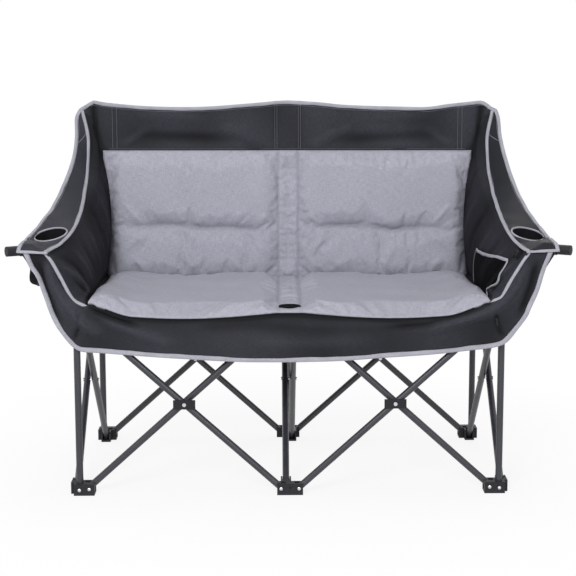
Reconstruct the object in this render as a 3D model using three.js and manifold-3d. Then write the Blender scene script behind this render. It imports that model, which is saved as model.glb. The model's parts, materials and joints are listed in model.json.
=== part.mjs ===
// A folding camping loveseat: a chain of crossed steel tubes between moulded feet and top fittings, with a padded
// two-person sling seat, back and arms. Millimetres, X to the sitter's left, -Y front, +Z up.
import * as THREE from "three";
import { mergeVertices } from "three/addons/utils/BufferGeometryUtils.js";
import Module from "manifold-3d";

const wasm = await Module();
wasm.setup();
const { lerp } = THREE.MathUtils;

// Frame tubes
const TUBE_R = 8.75;
const TUBE_WALL = 1;
const TUBE_SPACE = 3; // between two crossing tubes
const TUBE_SIDES = 12;
const TUBE_END = 7; // tube left beyond its end pivot

// Crossed pairs: every pair has the same bay and rise, so all fold through the same angle
const BAY = 488; // level distance between a tube's end pivots
const RISE = 440;
const PIVOT_Z = 17;
const MIDDLE_PIVOT_X = 23; // middle foot's pivots either side of the centre line
const INSET_X = 25; // corner post to its pivot, sideways
const INSET_Y = 34; // post line to the pivots of the front-to-back tubes
const POST_TOP_DROP = 24; // front post's top under the top pivots
const POLE_TOP_Z = 950;
const ARM_PIVOT_RISE = 95; // ends of the long front tubes, above the top pivots

// Pins and rivets
const PIN_R = 3;
const PIN_HOLE_R = 3.4;
const PIN_SIDES = 8;
const HEAD_R = 5;
const HEAD_T = 2.2;
const HEAD_GAP = 0.35; // rivet head to the tube that it holds

// Moulded feet and top fittings
const CHEEK_T = 4;
const SLOT_SPACE = 0.5; // each side of a tube in its slot
const SOCKET_WALL = 5.45;
const SOCKET_SPACE = 0.3;
const SLEEVE_SPACE = 0.4; // sliding fit on a rear pole
const CORNER_FACE = 18; // corner fitting's outer face from its post line
const FOOT_H = 36;
const FOOT_FLOOR = 5;
const POST_PIN_Z = 14.6;
const ARM_OF_CORNER = 13; // fitting beyond its pivot
const ARM_OF_MIDDLE = 10;
const FITTING_DEPTH = 19; // top fitting under its pivots
const FITTING_RISE = 12;
const LEDGE_DROP = 5; // top of the front corner fitting's base, under its pivots
const SPIGOT_R = 7.2;
const SPIGOT_L = 260;
const MOULD_HOLE_R = 2;
const MOULD_HOLE_Z = 19;

// Plates on the two front crossings
const HUB_PLATE_L = 56;
const HUB_PLATE_H = 24;
const HUB_PLATE_T = 3;

// Arm front rods
const ROD_R = 11;
const ROD_WALL = 1.2;
const ROD_RISE = 78; // rod above the long tube's end
const ROD_LEAN = 39; // and outside it
const ROD_OUT = 45; // rod from its sleeve's middle, outward
const ROD_IN = 26;
const ROD_TURN = THREE.MathUtils.degToRad(30); // forward of straight sideways
const ROD_SIDES = 14;
const ROD_CAP_L = 34;
const ROD_CAP_WALL = 1.4;
const ROD_CAP_END = 4;
const ROD_CAP_ROOM = 2; // rod end to the inside of its cap
const ROD_SPACE = 0.3;
const ARM_SLEEVE_WALL = 3;
const ARM_SLEEVE_L = 30;
const ARM_FORK_HALF = 11;
const ARM_FORK_DROP = 10;
const ARM_CHEEK_T = 3.5;
const ARM_NECK_HALF = 8;

// Cloth
const CLOTH_T = 4;
const CLOTH_GAP = 0.4; // cloth to what carries it
const PANEL_T = 5;
const SEAT_INSET = 8; // seat's side edges inside the corner pivots
const SEAT_REAR_INSET = 4; // its rear edge in front of the rear pivots
const SEAT_SAG = 14; // each half of the seat, in its middle
const SEAT_SIDE_LIFT = 20; // side edges, up to the walls of the arms
const SEAT_SIDE_L = 110;
const SEAT_ROLL = 5; // drop of the seat's front edge in front of the middle fitting
const SEAT_ROLL_L = 19;
const PAD_T = 24;
const PAD_RIM_T = 5;
const PAD_INSET = 7; // pad's edge from the sling's edge
const PAD_CHANNEL_HALF = 29; // flat strip down the middle
const PAD_CHANNEL_T = 8;
const PAD_EDGE = 46; // width over which a pad thins to its rim
const BACK_BEYOND = 30; // back's side edges outside the corner poles
const BACK_FOOT_RISE = 4.6; // its foot above the top fittings
const BACK_OVER_POLE = 26;
const BACK_TOP_SAG = 18;
const BACK_BULGE = 4; // forward, between the poles
const BACK_BAND = 138; // plain band above the back pad
const BACK_PAD_INSET = 53; // pad's side edges from the back's
const BACK_PAD_T = 24;
const LUMBAR_RISE = 146; // crease across the back pad, above its foot
const LUMBAR_HALF = 26;
const LUMBAR_DEPTH = 9;
const BOSS_R = 28.5;
const BOSS_T = 7;
const BOSS_SINK = 5;
const BOSS_RIBS = 24;
const BOSS_RIB = 1.2;
const BOSS_ROOM_SIDES = 32;

// Front panel: its lower edge under the top pivots, and an ear up to each arm front
const PANEL_MIDDLE_DROP = 107;
const PANEL_CORNER_DROP = 85;
const PANEL_CORNER_INSET = 6; // from the front post
const PANEL_EAR_INSET = 26.5; // from the rod's sleeve
const PANEL_EAR_HALF = 29;

// Arms
const ARM_T = 4;
const ARM_OVERHANG = 11.75; // arm's front edge in front of the long tubes
const ARM_FRONT_DROP = 8; // and under the rod's middle
const ARM_TOP_DROP = 26; // top of the arm under the top of the back
const ARM_OUT = 132; // outer edge at the front, outside the front post
const ARM_INNER_INSET = 54; // inner edge at the front, inside the rod's sleeve
const ARM_SHOULDER_INSET = 23; // inner end of the cloth that lies on the rod's sleeve
const WALL_FOOT_RISE = 16.6; // foot of the inner wall above the top fittings
const WALL_FOOT_OUT = 3; // and outside the corner pivots
const CUP_R = 46;
const CUP_WALL = 3;
const CUP_RIM = 4;
const CUP_RIM_T = 3;
const CUP_ROUND = 12; // rounding of the pouch's foot
const CUP_INSET = 56; // cup's middle from the arm's outer edge
const CUP_SETBACK = 106; // and behind the long tubes
const CUP_DEPTH = 142;
const CUP_SIDES = 22;
const POCKET_T = 3;
const POCKET_BULGE = 10;
const POCKET_SPACE = 1.6; // sideways, between the pocket's hem and the wall

// Worked out from the sizes above
const ANGLE = Math.atan2(RISE, BAY);
const LENGTH = Math.hypot(BAY, RISE);
const TOP_Z = PIVOT_Z + RISE;
const PLANE = TUBE_R + TUBE_SPACE / 2; // tube plane from the post line
const CORNER_X = MIDDLE_PIVOT_X + BAY;
const POST_X = CORNER_X + INSET_X;
const PIVOT_Y = BAY / 2;
const POST_Y = PIVOT_Y + INSET_Y;
const SLOT_HALF = TUBE_R + SLOT_SPACE;
const ARM_HALF = SLOT_HALF + CHEEK_T;
const END_REACH = Math.hypot(TUBE_END, TUBE_R) + SLOT_SPACE;
const SOCKET_HALF = TUBE_R + SOCKET_SPACE + SOCKET_WALL;
const PIN_SEAT = CHEEK_T / 2; // pin end inside the cheek past its slot
const OVERRUN = 5; // cutters past the faces that they cut
const ARM_PIVOT_Z = TOP_Z + ARM_PIVOT_RISE;
const ROD_Z = ARM_PIVOT_Z + ROD_RISE;
const ARM_REACH = (ARM_PIVOT_Z - PIVOT_Z) / Math.sin(ANGLE);
const ARM_PIVOT_X = MIDDLE_PIVOT_X + ARM_REACH * Math.cos(ANGLE);
const ROD_X = ARM_PIVOT_X + ROD_LEAN;
const FRONT_A_Y = -POST_Y - PLANE; // plane of the long front tubes
const PANEL_Y = FRONT_A_Y - ARM_HALF - HEAD_T / 2 - CLOTH_GAP - PANEL_T / 2;
const PANEL_EAR_Z = ROD_Z - ROD_R - ROD_SPACE - ARM_SLEEVE_WALL - CLOTH_GAP; // just under the rod's sleeve
const CARRY_Z = TOP_Z + FITTING_RISE + CLOTH_GAP; // cloth over the top fittings
const BACK_Y = POST_Y - TUBE_R - CLOTH_GAP - CLOTH_T / 2;
const SEAT_HALF = CORNER_X - SEAT_INSET;
const SEAT_REAR_Y = PIVOT_Y - SEAT_REAR_INSET;
const BACK_HALF = POST_X + BACK_BEYOND;
const BACK_FOOT_Z = CARRY_Z + BACK_FOOT_RISE;
const BACK_TOP_Z = POLE_TOP_Z + BACK_OVER_POLE;
const BACK_PAD_TOP_Z = BACK_TOP_Z - BACK_BAND;
const BACK_PAD_HALF = BACK_HALF - BACK_PAD_INSET;
const LUMBAR_Z = BACK_FOOT_Z + LUMBAR_RISE;
const PANEL_MIDDLE_Z = TOP_Z - PANEL_MIDDLE_DROP;
const PANEL_CORNER_Z = TOP_Z - PANEL_CORNER_DROP;
const PANEL_CORNER_X = POST_X - PANEL_CORNER_INSET;
const PANEL_EAR_X = ROD_X - PANEL_EAR_INSET;
const ARM_FRONT_Y = FRONT_A_Y - ARM_OVERHANG;
const ARM_FRONT_Z = ROD_Z - ARM_FRONT_DROP;
const ARM_TOP_Z = BACK_TOP_Z - ARM_TOP_DROP;
const ARM_LOW_Z = CARRY_Z + WALL_FOOT_RISE;
const ARM_LOW_X = CORNER_X + WALL_FOOT_OUT;
const ARM_WIDE_X = POST_X + ARM_OUT;
const ARM_INNER_X = ROD_X - ARM_INNER_INSET;
const ARM_SHOULDER_X = ROD_X - ARM_SHOULDER_INSET;
const CUP_X = ARM_WIDE_X - CUP_INSET;
const CUP_Y = FRONT_A_Y + CUP_SETBACK;

// Finishes
const steel = () => new THREE.MeshStandardMaterial({ color: 0x3a3b40, roughness: 0.42, metalness: 0.35 });
const plastic = () => new THREE.MeshStandardMaterial({ color: 0x17181b, roughness: 0.5, metalness: 0 });
const bright = () => new THREE.MeshStandardMaterial({ color: 0xc9cbd0, roughness: 0.25, metalness: 1 });
const darkCloth = () => new THREE.MeshStandardMaterial({ color: 0x33343b, roughness: 0.9, metalness: 0 });
const greyCloth = () => new THREE.MeshStandardMaterial({ color: 0x9b9ba6, roughness: 0.92, metalness: 0 });
const meshCloth = () => new THREE.MeshStandardMaterial({ color: 0x1b1c20, roughness: 0.85, metalness: 0 });

// Solids for joining and cutting
const WELD = 1e-4;

function solid(geometry) {
  const bare = geometry.index ? geometry.toNonIndexed() : geometry.clone();
  bare.deleteAttribute("normal");
  bare.deleteAttribute("uv");
  const merged = mergeVertices(bare, WELD);
  return new wasm.Manifold(
    new wasm.Mesh({
      numProp: 3,
      vertProperties: merged.attributes.position.array,
      triVerts: new Uint32Array(merged.index.array),
    }),
  );
}

function geometryOf(shape) {
  const made = shape.getMesh();
  const geometry = new THREE.BufferGeometry();
  geometry.setAttribute("position", new THREE.BufferAttribute(made.vertProperties, 3));
  geometry.setIndex(new THREE.BufferAttribute(made.triVerts, 1));
  geometry.computeVertexNormals();
  return geometry;
}

function block(x0, x1, y0, y1, z0, z1) {
  const box = new THREE.BoxGeometry(Math.abs(x1 - x0), Math.abs(y1 - y0), Math.abs(z1 - z0));
  return solid(box.translate((x0 + x1) / 2, (y0 + y1) / 2, (z0 + z1) / 2));
}

// A round bar from one point to another
function bar(radius, from, to, sides) {
  const a = new THREE.Vector3(...from);
  const b = new THREE.Vector3(...to);
  const way = b.clone().sub(a);
  const turn = new THREE.Quaternion().setFromUnitVectors(new THREE.Vector3(0, 1, 0), way.clone().normalize());
  const shape = new THREE.CylinderGeometry(radius, radius, way.length(), sides);
  shape.applyQuaternion(turn);
  return solid(shape.translate((a.x + b.x) / 2, (a.y + b.y) / 2, (a.z + b.z) / 2));
}

const mirrored = (geometry, sx, sy) => {
  const turned = geometry.clone().scale(sx, sy, 1);
  if (sx * sy < 0) {
    const order = turned.index.array;
    for (let i = 0; i < order.length; i += 3) {
      const first = order[i];
      order[i] = order[i + 1];
      order[i + 1] = first;
    }
  }
  return turned;
};

// The model
const loveseat = new THREE.Group();
loveseat.name = "loveseat";

// A body is a group at its joint; its pieces are added in world places or in the group's own
function bodyAt(name, x, y, z) {
  const group = new THREE.Group();
  group.name = name;
  group.position.set(x, y, z);
  loveseat.add(group);
  return group;
}

function piece(body, name, geometry, material, place = [0, 0, 0]) {
  const mesh = new THREE.Mesh(geometry, material());
  mesh.name = name;
  mesh.position.set(...place);
  body.add(mesh);
  return mesh;
}

// Adds a piece that is drawn in the loveseat's own frame
function pieceInPlace(body, name, geometry, material) {
  const { x, y, z } = body.position;
  return piece(body, name, geometry, material, [-x, -y, -z]);
}

// Tubes
// A hollow tube along +X from its lower pivot, with pin holes along Y
function tubeGeometry(holes, from, to) {
  let shape = bar(TUBE_R, [from, 0, 0], [to, 0, 0], TUBE_SIDES);
  const inner = bar(TUBE_R - TUBE_WALL, [from - OVERRUN, 0, 0], [to + OVERRUN, 0, 0], TUBE_SIDES);
  shape = shape.subtract(inner);
  for (const at of holes) {
    const cutter = bar(PIN_HOLE_R, [at, -TUBE_R - OVERRUN, 0], [at, TUBE_R + OVERRUN, 0], PIN_SIDES);
    shape = shape.subtract(cutter);
  }
  return geometryOf(shape);
}

const shortTube = tubeGeometry([0, LENGTH / 2, LENGTH], -TUBE_END, LENGTH + TUBE_END);
const longTube = tubeGeometry([0, LENGTH / 2, LENGTH, ARM_REACH], -TUBE_END, ARM_REACH + TUBE_END);

// A tube that climbs from a lower pivot at one compass heading
function slantedTube(body, name, geometry, lower, heading) {
  const mesh = pieceInPlace(body, name, geometry, steel);
  mesh.position.add(new THREE.Vector3(...lower));
  mesh.rotation.set(0, -ANGLE, heading, "ZYX");
  return mesh;
}

function hollowPost(from, to, pinAt) {
  let shape = bar(TUBE_R, [0, 0, from], [0, 0, to], TUBE_SIDES);
  shape = shape.subtract(bar(TUBE_R - TUBE_WALL, [0, 0, from - OVERRUN], [0, 0, to + OVERRUN], TUBE_SIDES));
  const reach = TUBE_R + OVERRUN;
  shape = shape.subtract(bar(PIN_HOLE_R, [0, -reach, pinAt], [0, reach, pinAt], PIN_SIDES));
  return geometryOf(shape);
}

const cornerPost = hollowPost(FOOT_FLOOR + SOCKET_SPACE, TOP_Z - POST_TOP_DROP, POST_PIN_Z);
const rearPole = hollowPost(FOOT_FLOOR + SOCKET_SPACE, POLE_TOP_Z, POST_PIN_Z);

// A rivet along Y with a head at each end; ends are its two grip faces
function rivet(front, rear, axis) {
  const along = (at) => (axis === "y" ? [0, at, 0] : [at, 0, 0]);
  const shaft = bar(PIN_R, along(front - HEAD_T / 2), along(rear + HEAD_T / 2), PIN_SIDES);
  const near = bar(HEAD_R, along(front - HEAD_T), along(front), TUBE_SIDES);
  const far = bar(HEAD_R, along(rear), along(rear + HEAD_T), TUBE_SIDES);
  return geometryOf(shaft.add(near).add(far));
}

// Moulded fittings: drawn with the post line at the origin, +X inboard and +Y into the loveseat
const SLOT_OPEN = FOOT_H + OVERRUN;

// A slot for a tube that runs along X, from wall to past the fitting's end
function slotX(wall, end, plane, low, high) {
  return block(wall, end, plane - SLOT_HALF, plane + SLOT_HALF, low, high);
}

function slotY(plane, low, high) {
  const wall = INSET_Y - END_REACH;
  const end = INSET_Y + ARM_OF_CORNER + OVERRUN;
  return block(plane - SLOT_HALF, plane + SLOT_HALF, wall, end, low, high);
}

// A pin from a head on the fitting's front face to its rear end, which stays inside the far cheek
function pinAlongY(x, z, front, rear) {
  const shaft = bar(PIN_R, [x, front - HEAD_T / 2, z], [x, rear, z], PIN_SIDES);
  const head = bar(HEAD_R, [x, front - HEAD_T / 2, z], [x, front + CHEEK_T / 2, z], TUBE_SIDES);
  return shaft.add(head);
}

function pinAlongX(plane, z) {
  const reach = ARM_HALF + HEAD_T / 2;
  return bar(PIN_R, [plane - reach, INSET_Y, z], [plane + reach, INSET_Y, z], PIN_SIDES);
}

function armY(plane, low, high) {
  return block(plane - ARM_HALF, plane + ARM_HALF, 0, INSET_Y + ARM_OF_CORNER, low, high);
}

function cornerFoot(sidePlane) {
  const end = INSET_X + ARM_OF_CORNER;
  let shape = block(-SOCKET_HALF, end, -CORNER_FACE, PLANE + ARM_HALF, 0, FOOT_H);
  shape = shape.add(armY(sidePlane, 0, FOOT_H));
  shape = shape.subtract(slotX(INSET_X - END_REACH, end + OVERRUN, PLANE, FOOT_FLOOR, SLOT_OPEN));
  shape = shape.subtract(slotY(sidePlane, FOOT_FLOOR, SLOT_OPEN));
  shape = shape.subtract(bar(TUBE_R + SOCKET_SPACE, [0, 0, FOOT_FLOOR], [0, 0, SLOT_OPEN], TUBE_SIDES));
  shape = shape.add(pinAlongY(INSET_X, PIVOT_Z, -CORNER_FACE, PLANE + SLOT_HALF + PIN_SEAT));
  shape = shape.add(pinAlongY(0, POST_PIN_Z, -CORNER_FACE, SOCKET_HALF));
  return geometryOf(shape.add(pinAlongX(sidePlane, PIVOT_Z)));
}

function middleFoot(sidePlane, hasPole) {
  const end = MIDDLE_PIVOT_X + ARM_OF_MIDDLE;
  const wall = MIDDLE_PIVOT_X - END_REACH;
  const front = -PLANE - ARM_HALF;
  let shape = block(-end, end, front, -PLANE + ARM_HALF, 0, FOOT_H);
  shape = shape.add(armY(sidePlane, 0, FOOT_H));
  if (hasPole) shape = shape.add(block(-SOCKET_HALF, SOCKET_HALF, -SOCKET_HALF, SOCKET_HALF, 0, FOOT_H));
  shape = shape.subtract(slotX(wall, end + OVERRUN, -PLANE, FOOT_FLOOR, SLOT_OPEN));
  shape = shape.subtract(slotX(-wall, -end - OVERRUN, -PLANE, FOOT_FLOOR, SLOT_OPEN));
  shape = shape.subtract(slotY(sidePlane, FOOT_FLOOR, SLOT_OPEN));
  if (hasPole) {
    shape = shape.subtract(bar(TUBE_R + SOCKET_SPACE, [0, 0, FOOT_FLOOR], [0, 0, SLOT_OPEN], TUBE_SIDES));
    shape = shape.add(pinAlongY(0, POST_PIN_Z, front, SOCKET_HALF));
  } else {
    const hole = bar(MOULD_HOLE_R, [0, front - OVERRUN, MOULD_HOLE_Z], [0, OVERRUN, MOULD_HOLE_Z], PIN_SIDES);
    shape = shape.subtract(hole);
  }
  for (const x of [-MIDDLE_PIVOT_X, MIDDLE_PIVOT_X]) {
    shape = shape.add(pinAlongY(x, PIVOT_Z, front, -PLANE + SLOT_HALF + PIN_SEAT));
  }
  return geometryOf(shape.add(pinAlongX(sidePlane, PIVOT_Z)));
}

// Top fittings are drawn with their pivots at z = 0
const TOP_OPEN = FITTING_RISE + OVERRUN;
const TOP_LOW = -FITTING_DEPTH - OVERRUN;

function frontCornerTop(sidePlane) {
  const end = INSET_X + ARM_OF_CORNER;
  const wall = INSET_X - END_REACH;
  const front = -PLANE - ARM_HALF;
  const sideWall = INSET_Y - END_REACH;
  let shape = block(-SOCKET_HALF, wall, front, sideWall, -FITTING_DEPTH, -LEDGE_DROP);
  shape = shape.add(block(0, end, front, -PLANE + ARM_HALF, -FITTING_DEPTH, FITTING_RISE));
  shape = shape.add(armY(sidePlane, -FITTING_DEPTH, FITTING_RISE));
  shape = shape.subtract(slotX(wall, end + OVERRUN, -PLANE, TOP_LOW, TOP_OPEN));
  shape = shape.subtract(slotX(-SOCKET_HALF - OVERRUN, wall + SLOT_SPACE, -PLANE, -LEDGE_DROP, TOP_OPEN));
  shape = shape.subtract(slotY(sidePlane, TOP_LOW, TOP_OPEN));
  const spigotFoot = -FITTING_DEPTH - SPIGOT_L;
  shape = shape.add(bar(SPIGOT_R, [0, 0, spigotFoot], [0, 0, -FITTING_DEPTH + CHEEK_T], TUBE_SIDES));
  shape = shape.add(pinAlongY(INSET_X, 0, front, -PLANE + SLOT_HALF + PIN_SEAT));
  return geometryOf(shape.add(pinAlongX(sidePlane, 0)));
}

function rearCornerTop(sidePlane) {
  const end = INSET_X + ARM_OF_CORNER;
  const front = -PLANE - ARM_HALF;
  let shape = block(-SOCKET_HALF, SOCKET_HALF, -SOCKET_HALF, SOCKET_HALF, -FITTING_DEPTH, FITTING_RISE);
  shape = shape.add(block(0, end, front, -PLANE + ARM_HALF, -FITTING_DEPTH, FITTING_RISE));
  shape = shape.add(armY(sidePlane, -FITTING_DEPTH, FITTING_RISE));
  shape = shape.subtract(slotX(INSET_X - END_REACH, end + OVERRUN, -PLANE, TOP_LOW, TOP_OPEN));
  shape = shape.subtract(slotY(sidePlane, TOP_LOW, TOP_OPEN));
  shape = shape.subtract(bar(TUBE_R + SLEEVE_SPACE, [0, 0, TOP_LOW], [0, 0, TOP_OPEN], TUBE_SIDES));
  shape = shape.add(pinAlongY(INSET_X, 0, front, -PLANE + SLOT_HALF + PIN_SEAT));
  return geometryOf(shape.add(pinAlongX(sidePlane, 0)));
}

function middleTop(sidePlane, hasPole) {
  const end = MIDDLE_PIVOT_X + ARM_OF_MIDDLE;
  const wall = MIDDLE_PIVOT_X - END_REACH;
  const front = PLANE - ARM_HALF;
  const rear = PLANE + ARM_HALF;
  let shape = block(-end, end, front, rear, -FITTING_DEPTH, FITTING_RISE);
  shape = shape.add(armY(sidePlane, -FITTING_DEPTH, FITTING_RISE));
  if (hasPole) {
    shape = shape.add(block(-SOCKET_HALF, SOCKET_HALF, -SOCKET_HALF, SOCKET_HALF, -FITTING_DEPTH, FITTING_RISE));
    shape = shape.subtract(bar(TUBE_R + SLEEVE_SPACE, [0, 0, TOP_LOW], [0, 0, TOP_OPEN], TUBE_SIDES));
  }
  shape = shape.subtract(slotX(wall, end + OVERRUN, PLANE, TOP_LOW, TOP_OPEN));
  shape = shape.subtract(slotX(-wall, -end - OVERRUN, PLANE, TOP_LOW, TOP_OPEN));
  shape = shape.subtract(slotY(sidePlane, TOP_LOW, TOP_OPEN));
  for (const x of [-MIDDLE_PIVOT_X, MIDDLE_PIVOT_X]) {
    shape = shape.add(pinAlongY(x, 0, front, PLANE + SLOT_HALF + PIN_SEAT));
  }
  return geometryOf(shape.add(pinAlongX(sidePlane, 0)));
}

// Side tubes, on both sides of the post line: the one from the front foot lies outboard
const SIDE_A = -PLANE;
const SIDE_B = PLANE;

const frontFoot = cornerFoot(SIDE_A);
const rearFoot = cornerFoot(SIDE_B);
const frontTop = frontCornerTop(SIDE_B);
const rearTop = rearCornerTop(SIDE_A);

// Middle feet and middle top fittings
const frontMiddle = bodyAt("front_middle_foot_body", 0, -POST_Y, 0);
piece(frontMiddle, "foot_front_middle", mirrored(middleFoot(PLANE, false), -1, 1), plastic);

const rearMiddle = bodyAt("rear_middle_foot_body", PLANE, PIVOT_Y, PIVOT_Z);
const rearMiddlePlace = [-PLANE, POST_Y - PIVOT_Y, -PIVOT_Z];
piece(rearMiddle, "foot_rear_middle", mirrored(middleFoot(PLANE, true), 1, -1), plastic, rearMiddlePlace);
piece(rearMiddle, "pole_rear_middle", rearPole, steel, rearMiddlePlace);

const frontMiddleTop = bodyAt("front_middle_top_body", -MIDDLE_PIVOT_X, -POST_Y + PLANE, TOP_Z);
piece(frontMiddleTop, "top_front_middle", middleTop(PLANE, false), plastic, [MIDDLE_PIVOT_X, -PLANE, 0]);

const rearMiddleTop = bodyAt("rear_middle_top_body", -PLANE, PIVOT_Y, TOP_Z);
piece(rearMiddleTop, "top_rear_middle", mirrored(middleTop(PLANE, true), -1, -1), plastic, [
  PLANE,
  POST_Y - PIVOT_Y,
  0,
]);

// Front-to-back pair in the middle
const HUB_Z = PIVOT_Z + RISE / 2;
const TO_REAR = Math.PI / 2;
const TO_FRONT = -Math.PI / 2;
const GRIP = PLANE + TUBE_R + HEAD_GAP; // rivet head faces from the middle of a crossed pair

const middleRising = bodyAt("middle_tube_from_front_body", -PLANE, -PIVOT_Y, PIVOT_Z);
slantedTube(middleRising, "tube_middle_from_front", shortTube, [-PLANE, -PIVOT_Y, PIVOT_Z], TO_REAR);
piece(middleRising, "rivet_middle", rivet(-GRIP, GRIP, "x"), bright, [PLANE, PIVOT_Y, HUB_Z - PIVOT_Z]);
const middleFalling = bodyAt("middle_tube_from_rear_body", 0, 0, HUB_Z);
slantedTube(middleFalling, "tube_middle_from_rear", shortTube, [PLANE, PIVOT_Y, PIVOT_Z], TO_FRONT);

// A plate over the front crossing, behind its rivet's head
function hubPlate() {
  const front = -PLANE - TUBE_R - HEAD_GAP - HUB_PLATE_T;
  const half = HUB_PLATE_L / 2;
  let shape = block(-half, half, front, front + HUB_PLATE_T, -HUB_PLATE_H / 2, HUB_PLATE_H / 2);
  shape = shape.subtract(bar(PIN_HOLE_R, [0, front - OVERRUN, 0], [0, 0, 0], PIN_SIDES));
  return geometryOf(shape);
}

// Left and right sides share everything but their sign
const ROD_WAY = new THREE.Vector3(Math.cos(ROD_TURN), -Math.sin(ROD_TURN), 0);

function rodPoint(along) {
  return ROD_WAY.clone().multiplyScalar(along).toArray();
}

function armRod() {
  const shape = bar(ROD_R, rodPoint(-ROD_IN), rodPoint(ROD_OUT), ROD_SIDES);
  const bore = bar(ROD_R - ROD_WALL, rodPoint(-ROD_IN - OVERRUN), rodPoint(ROD_OUT + OVERRUN), ROD_SIDES);
  return geometryOf(shape.subtract(bore));
}

function armRodCap() {
  const tip = ROD_OUT + ROD_CAP_ROOM + ROD_CAP_END;
  const shape = bar(ROD_R + ROD_SPACE + ROD_CAP_WALL, rodPoint(tip - ROD_CAP_L), rodPoint(tip), ROD_SIDES);
  const bore = bar(
    ROD_R + ROD_SPACE,
    rodPoint(tip - ROD_CAP_L - OVERRUN),
    rodPoint(tip - ROD_CAP_END),
    ROD_SIDES,
  );
  return geometryOf(shape.subtract(bore));
}

// A fork over the long tube's end, and a neck that leans out to the sleeve that the rod lies in
function armSocket() {
  const half = SLOT_HALF + ARM_CHEEK_T;
  const forkTop = END_REACH + ARM_CHEEK_T;
  const reach = ARM_FORK_HALF + OVERRUN;
  let shape = block(-ARM_FORK_HALF, ARM_FORK_HALF, -half, half, -ARM_FORK_DROP, forkTop);
  shape = shape.subtract(block(-reach, reach, -SLOT_HALF, SLOT_HALF, -ARM_FORK_DROP - OVERRUN, END_REACH));
  const neckFoot = block(-ARM_FORK_HALF, ARM_FORK_HALF, -half, half, END_REACH, forkTop);
  const neckHead = block(
    ROD_LEAN - ARM_NECK_HALF,
    ROD_LEAN + ARM_NECK_HALF,
    -ARM_NECK_HALF,
    ARM_NECK_HALF,
    ROD_RISE - ROD_R,
    ROD_RISE,
  );
  shape = shape.add(wasm.Manifold.hull([neckFoot, neckHead]));
  const held = (along) => {
    const [x, y] = rodPoint(along);
    return [ROD_LEAN + x, y, ROD_RISE];
  };
  const sleeveR = ROD_R + ROD_SPACE + ARM_SLEEVE_WALL;
  shape = shape.add(bar(sleeveR, held(-ARM_SLEEVE_L / 2), held(ARM_SLEEVE_L / 2), ROD_SIDES));
  shape = shape.subtract(bar(ROD_R + ROD_SPACE, held(-ARM_SLEEVE_L), held(ARM_SLEEVE_L), ROD_SIDES));
  return geometryOf(shape.add(bar(PIN_R, [0, -half, 0], [0, half, 0], PIN_SIDES)));
}

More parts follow.
